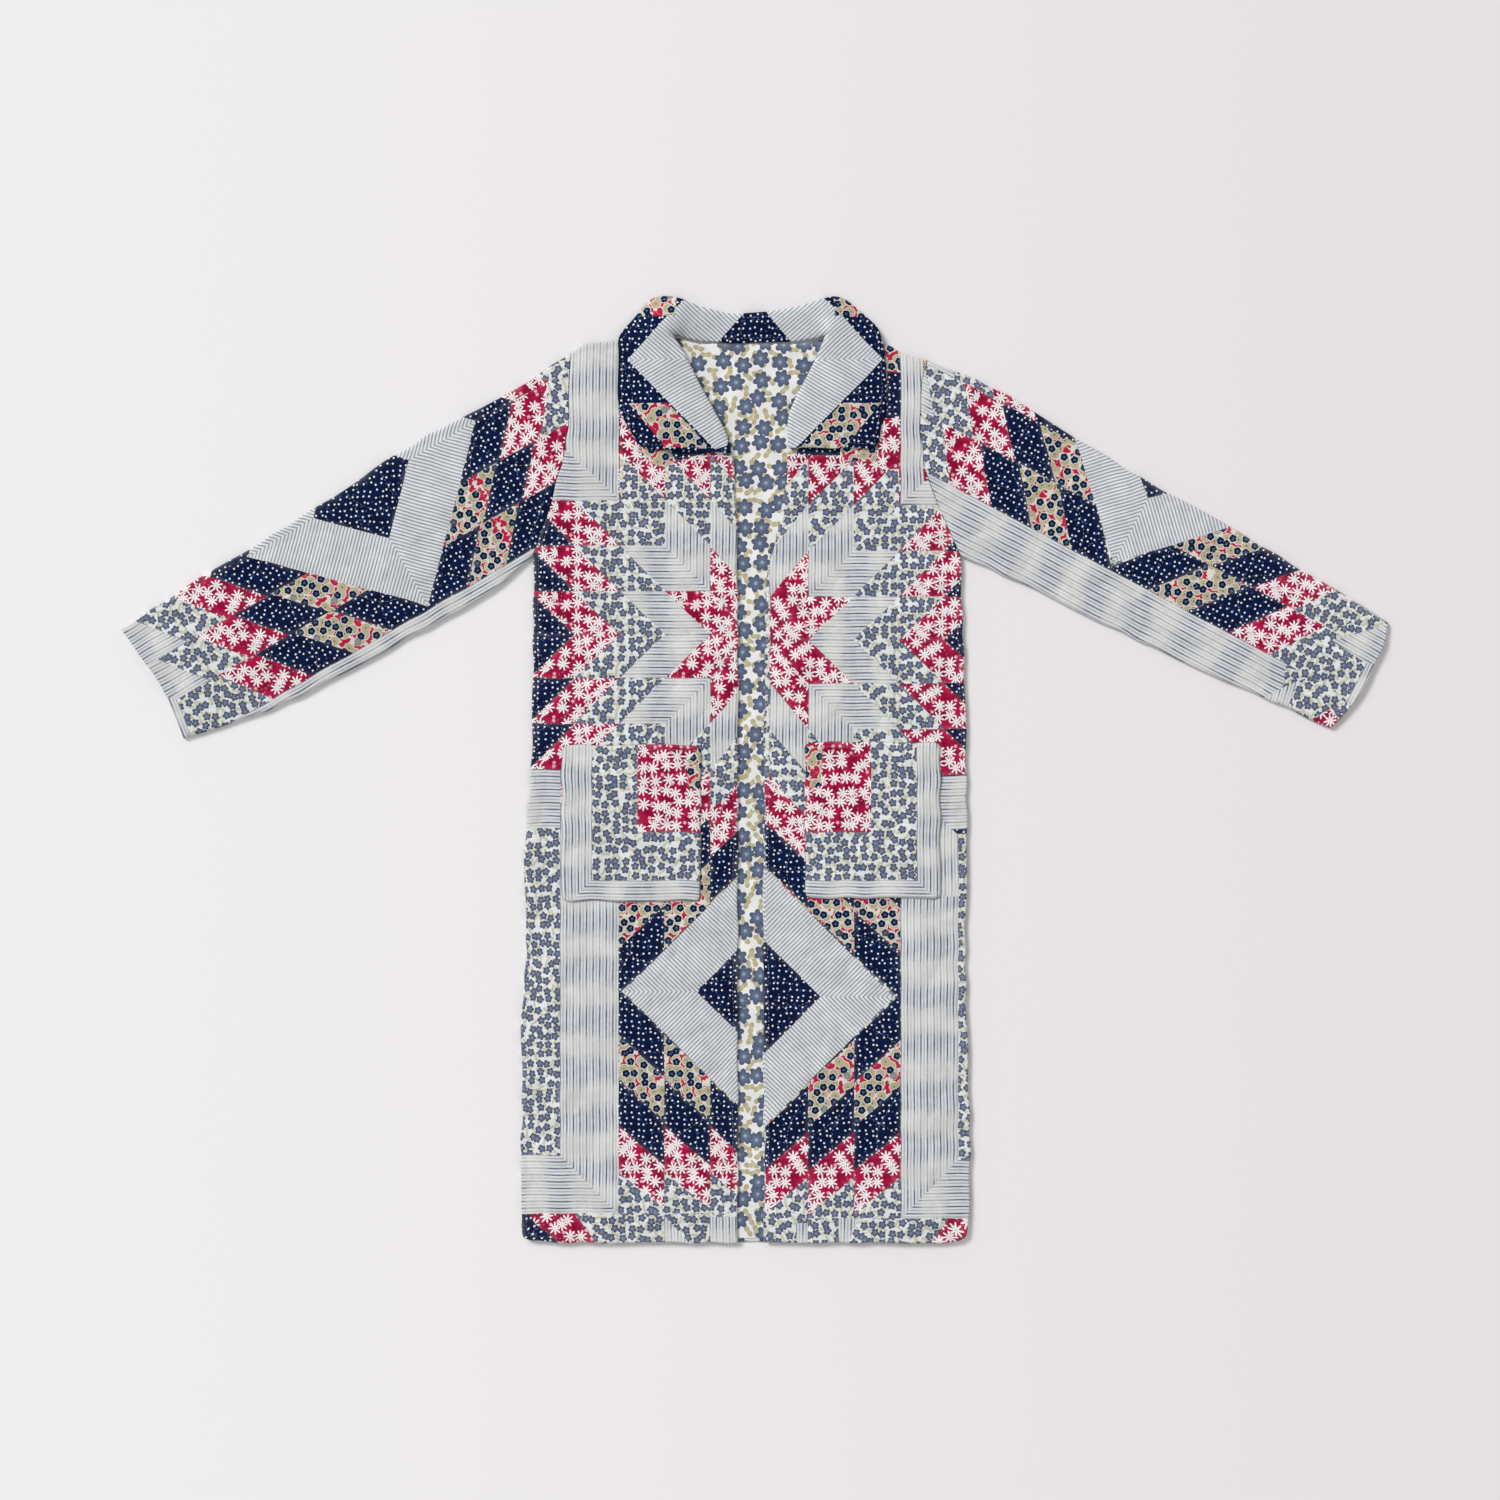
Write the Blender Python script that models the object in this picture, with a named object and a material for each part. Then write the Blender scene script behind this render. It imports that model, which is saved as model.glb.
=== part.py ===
"""A quilted patchwork duster coat with a turned collar, two patch pockets and an open front, laid flat face up.

Metres, +Z up. X runs across the coat to the wearer's left, Y runs from the hem to the collar, and the underside of the
coat rests at z = 0. The tables are in millimetres, taken from the centre of the coat's box.
"""

import math

import bmesh
import bpy
import numpy as np
from mathutils import Vector
from mathutils.geometry import delaunay_2d_cdt

MM = 0.001

# The cloth
CLOTH = 3.0  # quilted wall: top, wadding and lining sewn together
LINING_CLOTH = 1.0
COLLAR_CLOTH = 2.8
POCKET_CLOTH = 2.6
SEAM_GAP = 0.3
QUILT_RISE = 1.1  # how far the wadding stands up between the rows of quilting
QUILT_ROW = 54.0  # one quilted wave, along and across
QUILT_BOW = 16.0  # how far a row of quilting swings to each side

# How the upper layer lies on the lower one: its underside is low at the seams and has air under it elsewhere
UNDER_AT_SEAM = CLOTH + SEAM_GAP
UNDER_IN_FIELD = 6.0
UNDER_AT_OPEN_EDGE = 4.6
SEAM_REACH = 60.0
OPEN_EDGE_REACH = 26.0

FOLD_ROUND = (UNDER_AT_SEAM + CLOTH) / 2  # radius of the round at the two folds of a sleeve

SIGN = {"right": -1, "left": 1}  # the side of the coat that X points to
COLUMN = {"right": 2, "left": 3}  # where the tables of levels hold each side

# How finely the solids are cut
PANEL_STEP = 16.0
UNDERSIDE_STEP = 46.0
POCKET_STEP = 14.0
SLEEVE_STATIONS = 32
SLEEVE_COLUMNS = 11
SLEEVE_INNER_EVERY = 4
COLLAR_SECTIONS_PER_ROW = 2
COLLAR_POINTS = 13

# The body's side seams, one row for each level down the coat
BODY_LEVELS = (
    # level, y, right side x, left side x
    ("armpit", 255.0, -264.9, 246.3),
    ("chest", 82.0, -266.1, 252.3),
    ("waist", -8.0, -268.5, 253.5),
    ("pocket top", -74.0, -274.5, 254.7),
    ("pocket bottom", -158.0, -279.3, 253.3),
    ("hip", -230.0, -281.0, 252.3),
    ("thigh", -350.0, -282.9, 255.5),
    ("knee", -458.0, -283.2, 258.3),
    ("above the corner", -512.0, -282.9, 256.9),
)
HEM_Y = -568.2
HEM_CORNER = {"right": (42.0, 50.0), "left": (34.0, 46.0)}  # width and height of the rounded corner

# The front edges of the opening, one row for each level
OPENING_LEVELS = (
    # level, y, right front x, left front x
    ("collar end", 375.6, -26.1, 39.9),
    ("upper chest", 334.0, -23.5, 36.3),
    ("chest", 274.0, -21.5, 24.3),
    ("under the chest", 226.0, -20.5, 14.7),
    ("star", 154.0, -20.1, 12.3),
    ("pocket", -158.0, -20.1, 9.9),
    ("hem", HEM_Y, -20.1, 11.1),
)

# The shoulder seams, from the neck to the shoulder point
SHOULDERS = {
    "right": ((-108.9, 516.6), (-165.3, 513.0), (-201.3, 508.2), (-220.5, 498.6)),
    "left": ((102.3, 516.6), (157.5, 508.2), (175.5, 498.6), (207.9, 490.2)),
}

# The armhole seams, from the shoulder point to the armpit
ARMHOLES = {
    "right": ((-220.5, 498.6), (-225.3, 394.2), (-243.3, 323.4), (-264.9, 255.0)),
    "left": ((207.9, 490.2), (198.3, 448.2), (204.3, 358.2), (228.3, 298.2), (246.3, 255.0)),
}

# The sleeves, one row for each section from the armhole to the cuff: the upper fold and the lower fold
SLEEVES = {
    "right": (
        # section, upper x, upper y, lower x, lower y
        ("armhole", -220.5, 498.6, -264.9, 255.0),
        ("upper arm", -298.5, 443.4, -310.0, 216.0),
        ("above the elbow", -390.0, 395.2, -367.0, 181.8),
        ("elbow", -470.0, 346.6, -430.0, 148.7),
        ("below the elbow", -550.0, 297.8, -490.0, 114.5),
        ("forearm", -620.0, 255.1, -550.0, 84.4),
        ("above the cuff", -690.0, 212.2, -617.0, 57.3),
        ("cuff", -759.9, 166.2, -683.7, 36.6),
    ),
    "left": (
        ("armhole", 207.9, 490.2, 246.3, 255.0),
        ("upper arm", 290.0, 454.2, 290.0, 234.8),
        ("above the elbow", 370.0, 405.8, 345.0, 209.9),
        ("elbow", 450.0, 356.3, 410.0, 176.9),
        ("below the elbow", 530.0, 311.4, 475.0, 146.7),
        ("forearm", 605.0, 268.6, 545.0, 113.1),
        ("above the cuff", 685.0, 220.7, 618.0, 81.3),
        ("cuff", 759.9, 175.8, 690.3, 48.6),
    ),
}
CUFF_BOW = {"right": -7.0, "left": 11.0}  # how far the middle of the cuff stands out past its two folds

# The collar, one row for each section from the right front end round the back of the neck to the left front end. "lie"
# mixes the three ways it lies: 0 turned down on the front, 1 standing over the shoulder, 2 laid back with its fall under it.
COLLAR = (
    # section, inner x, inner y, outer x, outer y, lie
    ("right end", -26.1, 376.2, -137.7, 383.4, 0.0),
    ("right lower wing", -36.9, 406.2, -156.9, 412.2, 0.0),
    ("right wing", -51.3, 436.2, -165.3, 439.8, 0.0),
    ("right upper wing", -68.1, 465.0, -165.9, 473.4, 0.0),
    ("right front of shoulder", -82.5, 493.8, -165.9, 499.8, 0.05),
    ("right shoulder", -90.9, 510.6, -165.3, 519.0, 0.35),
    ("right neck corner", -94.5, 517.8, -144.9, 540.6, 0.8),
    ("right back of shoulder", -87.3, 515.4, -128.1, 563.4, 1.05),
    ("right back fold", -75.3, 512.4, -104.1, 567.4, 1.3),
    ("right of the back", -57.3, 509.4, -80.1, 561.0, 1.6),
    ("right back", -36.9, 509.4, -51.3, 549.0, 1.85),
    ("middle of the back", -3.3, 509.4, -3.3, 545.4, 2.0),
    ("left back", 30.3, 509.4, 39.9, 551.4, 1.85),
    ("left of the back", 50.7, 509.4, 68.7, 559.8, 1.6),
    ("left back fold", 68.7, 512.4, 92.7, 567.4, 1.3),
    ("left back of shoulder", 78.3, 515.4, 114.3, 562.2, 1.05),
    ("left neck corner", 81.9, 517.8, 135.9, 541.0, 0.8),
    ("left shoulder", 79.5, 510.6, 150.3, 526.2, 0.35),
    ("left front of shoulder", 73.5, 493.8, 156.3, 507.0, 0.05),
    ("left upper wing", 59.1, 465.0, 158.7, 475.8, 0.0),
    ("left wing", 45.9, 437.4, 158.7, 439.8, 0.0),
    ("left lower wing", 38.7, 408.6, 155.1, 410.6, 0.0),
    ("left end", 39.9, 382.2, 147.9, 383.4, 0.0),
)
NECK_SEAM_INSET = 10.0  # how far under the wing the stand is sewn to the front

# The middle of the collar's cloth in each way of lying, from the neck seam over the fold to the outer edge: a share of the
# section's width, a distance on top of it and a height
COLLAR_PROFILES = (
    # share, distance, height: turned down on the front
    (
        (0.0, 9.5, 7.6),
        (0.0, 5.0, 7.5),
        (0.0, 2.2, 8.5),
        (0.0, 1.4, 10.4),
        (0.0, 3.0, 12.3),
        (0.08, 6.0, 13.4),
        (0.35, 4.0, 14.2),
        (0.7, 0.0, 12.8),
        (1.0, -1.4, 10.9),
    ),
    # share, distance, height: standing over the shoulder
    (
        (0.0, 4.0, 5.6),
        (0.0, 4.5, 9.0),
        (0.0, 6.0, 13.0),
        (0.0, 9.0, 16.5),
        (0.05, 12.0, 18.5),
        (0.25, 8.0, 18.5),
        (0.5, 3.0, 14.5),
        (0.8, 0.0, 7.5),
        (1.0, -1.4, 1.6),
    ),
    # share, distance, height: laid back, its fall folded under it
    (
        (0.0, 0.4, 2.9),
        (0.25, 0.0, 4.6),
        (0.5, 0.0, 6.6),
        (0.75, 0.0, 8.0),
        (0.92, -0.5, 8.0),
        (1.0, -1.4, 5.2),
        (0.9, -0.5, 2.4),
        (0.62, 0.0, 1.5),
        (0.36, 0.0, 1.5),
    ),
)

# The patch pockets
POCKETS = {
    # side: inner x, outer x, top y, bottom y
    "right": (-64.5, -231.3, 28.2, -159.0),
    "left": (60.3, 222.3, 31.8, -155.4),
}
POCKET_CORNER = 7.0

# The lining of the back where it shows, one row for each level
LINING_LEVELS = (
    # level, y, right x, left x
    ("neck", 500.0, -91.0, 80.0),
    ("collar end", 376.0, -48.0, 58.0),
    ("upper chest", 300.0, -38.0, 50.0),
    ("chest", 200.0, -36.0, 30.0),
    ("hem", -564.0, -36.0, 27.0),
)

# The largest soft folds on the face of the coat
FOLDS = (
    # name, x, y, angle in degrees, half length, half width, height
    ("right armpit drag", -232.0, 226.0, -38.0, 46.0, 11.0, 1.8),
    ("left armpit drag", 214.0, 222.0, 40.0, 44.0, 11.0, 1.8),
    ("right shoulder dip", -190.0, 420.0, 84.0, 62.0, 12.0, 1.5),
    ("left shoulder ridge", 170.0, 430.0, 82.0, 60.0, 9.0, 2.2),
    ("right sleeve upper crease", -330.0, 330.0, 30.0, 66.0, 11.0, 2.0),
    ("right sleeve elbow crease", -470.0, 220.0, 34.0, 52.0, 10.0, 1.8),
    ("right sleeve forearm crease", -610.0, 150.0, 27.0, 50.0, 9.0, 1.5),
    ("left sleeve upper crease", 330.0, 330.0, -30.0, 70.0, 12.0, 2.2),
    ("left sleeve elbow crease", 480.0, 225.0, -27.0, 60.0, 10.0, 1.8),
    ("left sleeve forearm crease", 620.0, 160.0, -32.0, 46.0, 9.0, 1.6),
    ("right side ripple", -246.0, -250.0, 86.0, 70.0, 12.0, 1.8),
    ("right skirt ripple", -150.0, -430.0, 80.0, 80.0, 14.0, 1.5),
    ("left skirt ripple", 150.0, -400.0, 97.0, 84.0, 14.0, 1.6),
    ("left side ripple", 228.0, -300.0, 92.0, 60.0, 11.0, 1.8),
    ("left front edge roll", 34.0, -330.0, 90.0, 120.0, 9.0, 1.2),
)


def smooth(share):
    share = min(max(share, 0.0), 1.0)
    return share * share * (3.0 - 2.0 * share)


def through(rows, share):
    """The point at this share of the row numbers, on a smooth curve through the rows."""
    rows = np.asarray(rows, float)
    place = share * (len(rows) - 1)
    k = min(int(place), len(rows) - 2)
    t = place - k
    before = rows[k - 1] if k > 0 else 2 * rows[0] - rows[1]
    after = rows[k + 2] if k + 2 < len(rows) else 2 * rows[-1] - rows[-2]
    slope_in = (rows[k + 1] - before) / 2
    slope_out = (after - rows[k]) / 2
    return (
        (2 * t**3 - 3 * t**2 + 1) * rows[k]
        + (t**3 - 2 * t**2 + t) * slope_in
        + (3 * t**2 - 2 * t**3) * rows[k + 1]
        + (t**3 - t**2) * slope_out
    )


def by_length(points, shares):
    """The points at these shares of the length of a curve through the given ones."""
    fine = np.array([through(points, k / 200) for k in range(201)])
    run = np.concatenate(([0.0], np.cumsum(np.linalg.norm(np.diff(fine, axis=0), axis=1))))
    return [
        np.array([np.interp(share * run[-1], run, fine[:, axis]) for axis in (0, 1)])
        for share in shares
    ]


def edge(points, step=PANEL_STEP):
    """A smooth edge through the given points, cut into equal steps."""
    length = sum(math.dist(a, b) for a, b in zip(points, points[1:]))
    count = max(1, round(length / step))
    return by_length(points, [k / count for k in range(count + 1)])


def straight(start, end, step=PANEL_STEP):
    count = max(1, round(math.dist(start, end) / step))
    return [np.asarray(start) + (np.asarray(end) - np.asarray(start)) * k / count for k in range(count + 1)]


def joined(*edges):
    """One closed loop of the edges, with each shared corner once."""
    loop = []
    for points in edges:
        for point in points:
            if not loop or math.dist(point, loop[-1]) > SEAM_GAP / 3:
                loop.append(np.asarray(point, float))
    if math.dist(loop[0], loop[-1]) <= SEAM_GAP / 3:
        loop.pop()
    return loop


def distance(point, lines):
    """How far a point is from the nearest of the lines, each a list of points."""
    nearest = math.inf
    for line in lines:
        start = np.asarray(line[:-1])
        run = np.asarray(line[1:]) - start
        share = ((point - start) * run).sum(1) / np.maximum((run * run).sum(1), 1e-9)
        foot = start + run * np.clip(share, 0.0, 1.0)[:, None]
        nearest = min(nearest, float(np.linalg.norm(point - foot, axis=1).min()))
    return nearest


def inside(point, loop):
    hits = False
    x, y = point
    for (ax, ay), (bx, by) in zip(loop, loop[1:] + loop[:1]):
        if (ay > y) != (by > y) and x < ax + (bx - ax) * (y - ay) / (by - ay):
            hits = not hits
    return hits


# The seams and edges that the pieces share


def column_shares(width, clear):
    """Where a sleeve's lengthwise rows of points cross a section, as shares of its width, clear of both folds."""
    return [(clear + (width - 2 * clear) * k / SLEEVE_COLUMNS) / width for k in range(SLEEVE_COLUMNS + 1)]


def armhole(side):
    width = math.dist(ARMHOLES[side][0], ARMHOLES[side][-1])
    return by_length(ARMHOLES[side], [0.0, *column_shares(width, FOLD_ROUND), 1.0])


def side_seam(side):
    return edge([(row[COLUMN[side]], row[1]) for row in BODY_LEVELS])


def hem_corner(side):
    """The rounded corner between the side seam and the hem."""
    width, height = HEM_CORNER[side]
    last = BODY_LEVELS[-1]
    side_x, low = last[COLUMN[side]], HEM_Y + height
    points = [np.array((side_x, last[1]))]
    for angle in range(0, 91, 15):
        turn = math.radians(angle)
        x = side_x - SIGN[side] * width * (1 - math.cos(turn))
        points.append(np.array((x, low - height * math.sin(turn))))
    return points


def front_edge(side):
    return edge([(row[COLUMN[side]], row[1]) for row in OPENING_LEVELS])


def sleeve_fold(side, which):
    """The upper or the lower fold of a laid sleeve."""
    first = {"upper": 1, "lower": 3}[which]
    rows = [row[first : first + 2] for row in SLEEVES[side]]
    return [through(rows, k / SLEEVE_STATIONS) for k in range(SLEEVE_STATIONS + 1)]


def cuff_edge(side, share):
    """The point at this share of the way from the upper to the lower fold at the cuff."""
    _, upper_x, upper_y, lower_x, lower_y = SLEEVES[side][-1]
    chord = np.array((lower_x - upper_x, lower_y - upper_y))
    out = SIGN[side] * np.array((-chord[1], chord[0])) / np.linalg.norm(chord)
    return np.array((upper_x, upper_y)) + chord * share + out * CUFF_BOW[side] * 4 * share * (1 - share)


def neck_edge(side):
    """The front's neck edge, under the collar's wing, from the opening to the shoulder seam."""
    rows = COLLAR[:6] if side == "right" else COLLAR[:-7:-1]
    points = []
    for _, inner_x, inner_y, outer_x, outer_y, _ in rows:
        inner, outer = np.array((inner_x, inner_y)), np.array((outer_x, outer_y))
        points.append(inner + (outer - inner) / np.linalg.norm(outer - inner) * NECK_SEAM_INSET)
    return points


def back_neck_edge():
    """The back's neck edge, from the right to the left, just below the collar's seam."""
    return [np.array((row[1], row[2] - 2 * SEAM_GAP)) for row in COLLAR[7:16]]


SEAM_LINES = [
    line
    for side in ("right", "left")
    for line in (
        edge(SHOULDERS[side]),
        side_seam(side),
        sleeve_fold(side, "upper"),
        sleeve_fold(side, "lower"),
    )
]
OPEN_LINES = [
    line
    for side in ("right", "left")
    for line in (front_edge(side), [cuff_edge(side, k / 6) for k in range(7)])
] + [[np.array((-283.0, HEM_Y)), np.array((257.0, HEM_Y))]]
COLLAR_COVERS = {
    "right": [np.array(row[1:3]) for row in COLLAR[:7]] + [np.array(row[3:5]) for row in COLLAR[6::-1]],
    "left": [np.array(row[1:3]) for row in COLLAR[16:]] + [np.array(row[3:5]) for row in COLLAR[:15:-1]],
}


def pocket_loop(side):
    inner_x, outer_x, top, bottom = POCKETS[side]
    low_x, high_x = sorted((inner_x, outer_x))
    loop = []
    for corner_x, corner_y, first in (
        (high_x - POCKET_CORNER, top - POCKET_CORNER, 0),
        (low_x + POCKET_CORNER, top - POCKET_CORNER, 90),
        (low_x + POCKET_CORNER, bottom + POCKET_CORNER, 180),
        (high_x - POCKET_CORNER, bottom + POCKET_CORNER, 270),
    ):
        arc = [
            np.array(
                (
                    corner_x + POCKET_CORNER * math.cos(math.radians(first + turn)),
                    corner_y + POCKET_CORNER * math.sin(math.radians(first + turn)),
                )
            )
            for turn in (0, 45, 90)
        ]
        if loop:
            loop += straight(loop[-1], arc[0], POCKET_STEP)[1:-1]
        loop += arc
    return loop + straight(loop[-1], loop[0], POCKET_STEP)[1:-1]


# The heights


def under(point):
    """The height of the upper layer's underside."""
    rise = smooth(distance(point, SEAM_LINES) / SEAM_REACH)
    height = UNDER_AT_SEAM + (UNDER_IN_FIELD - UNDER_AT_SEAM) * rise
    near = 1.0 - smooth(distance(point, OPEN_LINES) / OPEN_EDGE_REACH)
    return height - max(0.0, height - UNDER_AT_OPEN_EDGE) * near


def quilting(point):
    """The rise of the wadding between curved rows of quilting."""
    x, y = point
    across = (x + QUILT_BOW * math.sin(2 * math.pi * y / (3 * QUILT_ROW))) / QUILT_ROW
    along = (y + QUILT_BOW * math.sin(2 * math.pi * x / (3 * QUILT_ROW))) / QUILT_ROW
    return QUILT_RISE * math.sin(math.pi * across) ** 2 * math.sin(math.pi * along) ** 2


def folds(point):
    """The rise of the largest soft folds."""
    rise = 0.0
    for _, x, y, angle, half_length, half_width, height in FOLDS:
        dx, dy = point[0] - x, point[1] - y
        turn = math.radians(angle)
        along = (dx * math.cos(turn) + dy * math.sin(turn)) / half_length
        across = (dy * math.cos(turn) - dx * math.sin(turn)) / half_width
        rise += height * math.exp(-along * along - across * across)
    return rise


def relief(point, own_edges):
    """What the face of a piece rises by: quilting and folds, fading out at its own edges."""
    return (quilting(point) + folds(point)) * smooth(distance(point, own_edges) / (1.5 * PANEL_STEP))


# The solids


def grid_points(loop, step, keep_off):
    """Points of an even triangular grid inside the loop and clear of these lines."""
    row_step = step * math.sqrt(3) / 2
    low, high = np.min(loop, axis=0), np.max(loop, axis=0)
    found = []
    for row in range(math.floor(low[1] / row_step), math.ceil(high[1] / row_step) + 1):
        shift = step / 2 if row % 2 else 0.0
        for column in range(math.floor(low[0] / step), math.ceil(high[0] / step) + 1):
            point = np.array((column * step + shift, row * row_step))
            if inside(point, loop) and distance(point, keep_off) > 0.5 * step:
                found.append(point)
    return found


def triangles(loop, step, inner_loops=()):
    """(points, triangles) of the region inside the loop. The loop's own points come first, in their order."""
    rings = [loop, *inner_loops]
    points = [point for ring in rings for point in ring]
    edges, first = [], 0
    for ring in rings:
        edges += [(first + k, first + (k + 1) % len(ring)) for k in range(len(ring))]
        first += len(ring)
    if step:
        points = points + grid_points(loop, step, [[*ring, ring[0]] for ring in rings])
    made = delaunay_2d_cdt([Vector(point) for point in points], edges, [], 1, 1e-6)
    origin = [sources[0] for sources in made[3]]
    return points, [tuple(origin[corner] for corner in face) for face in made[2]]


def add_object(name, vertices, faces, colour, roughness=0.85):
    """A mesh object in metres, with its own cloth material."""
    mesh = bpy.data.meshes.new(name)
    mesh.from_pydata([[c * MM for c in vertex] for vertex in vertices], [], faces)
    shape = bmesh.new()
    shape.from_mesh(mesh)
    bmesh.ops.recalc_face_normals(shape, faces=shape.faces)
    bmesh.ops.triangulate(shape, faces=shape.faces)
    shape.to_mesh(mesh)
    shape.free()
    material = bpy.data.materials.new(f"{name} cloth")
    material.use_nodes = True
    cloth = material.node_tree.nodes["Principled BSDF"]
    cloth.inputs["Base Color"].default_value = (*colour, 1.0)
    cloth.inputs["Roughness"].default_value = roughness
    cloth.inputs["Metallic"].default_value = 0.0
    mesh.materials.append(material)
    made = bpy.data.objects.new(name, mesh)
    bpy.context.scene.collection.objects.link(made)
    return made


def panel(name, loop, lower, upper, step, lower_step, colour, inner_loops=()):
    """A closed sheet between two height functions, with a coarse underside."""
    top_points, top_faces = triangles(loop, step, inner_loops)
    low_points, low_faces = triangles(loop, lower_step)
    vertices = [(*point, upper(point)) for point in top_points]
    vertices += [(*point, lower(point)) for point in low_points]
    shift, count = len(top_points), len(loop)
    faces = list(top_faces)
    faces += [tuple(shift + corner for corner in reversed(face)) for face in low_faces]
    faces += [(k, (k + 1) % count, shift + (k + 1) % count, shift + k) for k in range(count)]
    return add_object(name, vertices, faces, colour)


def back_loop():
    return joined(
        back_neck_edge(),
        edge(SHOULDERS["left"]),
        armhole("left"),
        side_seam("left"),
        hem_corner("left"),
        straight(hem_corner("left")[-1], hem_corner("right")[-1]),
        hem_corner("right")[::-1],
        side_seam("right")[::-1],
        armhole("right")[::-1],
        edge(SHOULDERS["right"])[::-1],
    )


def front_loop(side):
    opening = front_edge(side)
    corner = hem_corner(side)
    neck = neck_edge(side)
    return joined(
        straight(opening[0], (neck[0][0], opening[0][1])),
        neck,
        edge(SHOULDERS[side]),
        armhole(side),
        side_seam(side),
        corner,
        straight(corner[-1], opening[-1]),
        opening[::-1],
    )


def make_back():
    """The back of the body, cut in one, flat on the surface it lies on."""
    loop = back_loop()
    panel("back", loop, lambda point: 0.0, lambda point: CLOTH, 0, 0, (0.62, 0.63, 0.66))


def make_back_lining():
    """The back's lining, where the open front shows it."""
    neck = [point - np.array((0.0, SEAM_GAP)) for point in back_neck_edge()]
    right = [(row[2], row[1]) for row in LINING_LEVELS]
    left = [(row[3], row[1]) for row in LINING_LEVELS]
    loop = joined(neck, edge(left, 40.0), edge(right, 40.0)[::-1])
    low, high = CLOTH + SEAM_GAP, CLOTH + SEAM_GAP + LINING_CLOTH
    panel("back_lining", loop, lambda point: low, lambda point: high, 0, 0, (0.78, 0.78, 0.74))


def make_front(side):
    """A front, from the shoulder seam to the hem, open towards the other front."""
    loop = front_loop(side)
    pocket = pocket_loop(side)
    cover = COLLAR_COVERS[side]
    own_edges = [[*loop, loop[0]], [*pocket, pocket[0]], [*cover, cover[0]]]

    def face(point):
        hidden = inside(point, pocket) or inside(point, cover)
        return under(point) + CLOTH + (0.0 if hidden else relief(point, own_edges))

    panel(f"front_{side}", loop, under, face, PANEL_STEP, UNDERSIDE_STEP, (0.66, 0.62, 0.66), [pocket])


def make_pocket(side):
    """A patch pocket, made from the front's own points, moved out."""
    loop = pocket_loop(side)
    own_edges = [[*loop, loop[0]]]
    step = CLOTH + SEAM_GAP
    points, faces = triangles(loop, PANEL_STEP)
    count = len(points)
    vertices = [(*p, under(p) + step + POCKET_CLOTH + relief(p, own_edges)) for p in points]
    vertices += [(*p, under(p) + step) for p in points]
    faces += [tuple(count + corner for corner in reversed(face)) for face in faces]
    rim = len(loop)
    faces += [(k, (k + 1) % rim, count + (k + 1) % rim, count + k) for k in range(rim)]
    add_object(f"pocket_{side}", vertices, faces, (0.60, 0.50, 0.56))


def sleeve_plan(side):
    """A function of two shares, along the sleeve and from the upper to the lower fold, that gives the place."""
    rows = SLEEVES[side]
    upper_rows = [row[1:3] for row in rows]
    lower_rows = [row[3:5] for row in rows]
    out = np.array((SIGN[side] * SEAM_GAP, 0.0))
    start, end = (np.array(ARMHOLES[side][k]) for k in (0, -1))

    def place(along, across):
        straight_across = through(upper_rows, along) * (1 - across) + through(lower_rows, along) * across
        seam = by_length(ARMHOLES[side], [across])[0] - (start + (end - start) * across)
        chord = cuff_edge(side, 0.0) * (1 - across) + cuff_edge(side, 1.0) * across
        cuff = cuff_edge(side, across) - chord
        return straight_across + out + seam * (1 - along) ** 3 + cuff * along**3

    return place


def sleeve_ring(place, along, wall):
    """One section of the sleeve: its outer skin where wall is 0, its inner one where wall is the cloth."""
    width = math.dist(place(along, 0.0), place(along, 1.0))
    if wall:
        start, reach, rise = wall - 2 * SEAM_GAP, 2 * SEAM_GAP, SEAM_GAP / 4
    else:
        start, reach, rise = 0.0, FOLD_ROUND, FOLD_ROUND * math.sin(math.pi / 4)
    spots = [start, start + reach * (1 - math.cos(math.pi / 4))]
    upper_fold = [place(along, spot / width) for spot in spots]
    lower_fold = [place(along, 1 - spot / width) for spot in spots]
    rows = [place(along, share) for share in column_shares(width, start + reach)]
    ring = [(*upper_fold[0], FOLD_ROUND), (*upper_fold[1], FOLD_ROUND + rise)]
    ring += [(*point, under(point) + CLOTH - wall) for point in rows]
    ring += [(*lower_fold[1], FOLD_ROUND + rise), (*lower_fold[0], FOLD_ROUND)]
    ring.append((*lower_fold[1], FOLD_ROUND - rise))
    ring += [(*point, wall) for point in reversed(rows)]
    ring.append((*upper_fold[1], FOLD_ROUND - rise))
    return ring


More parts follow.
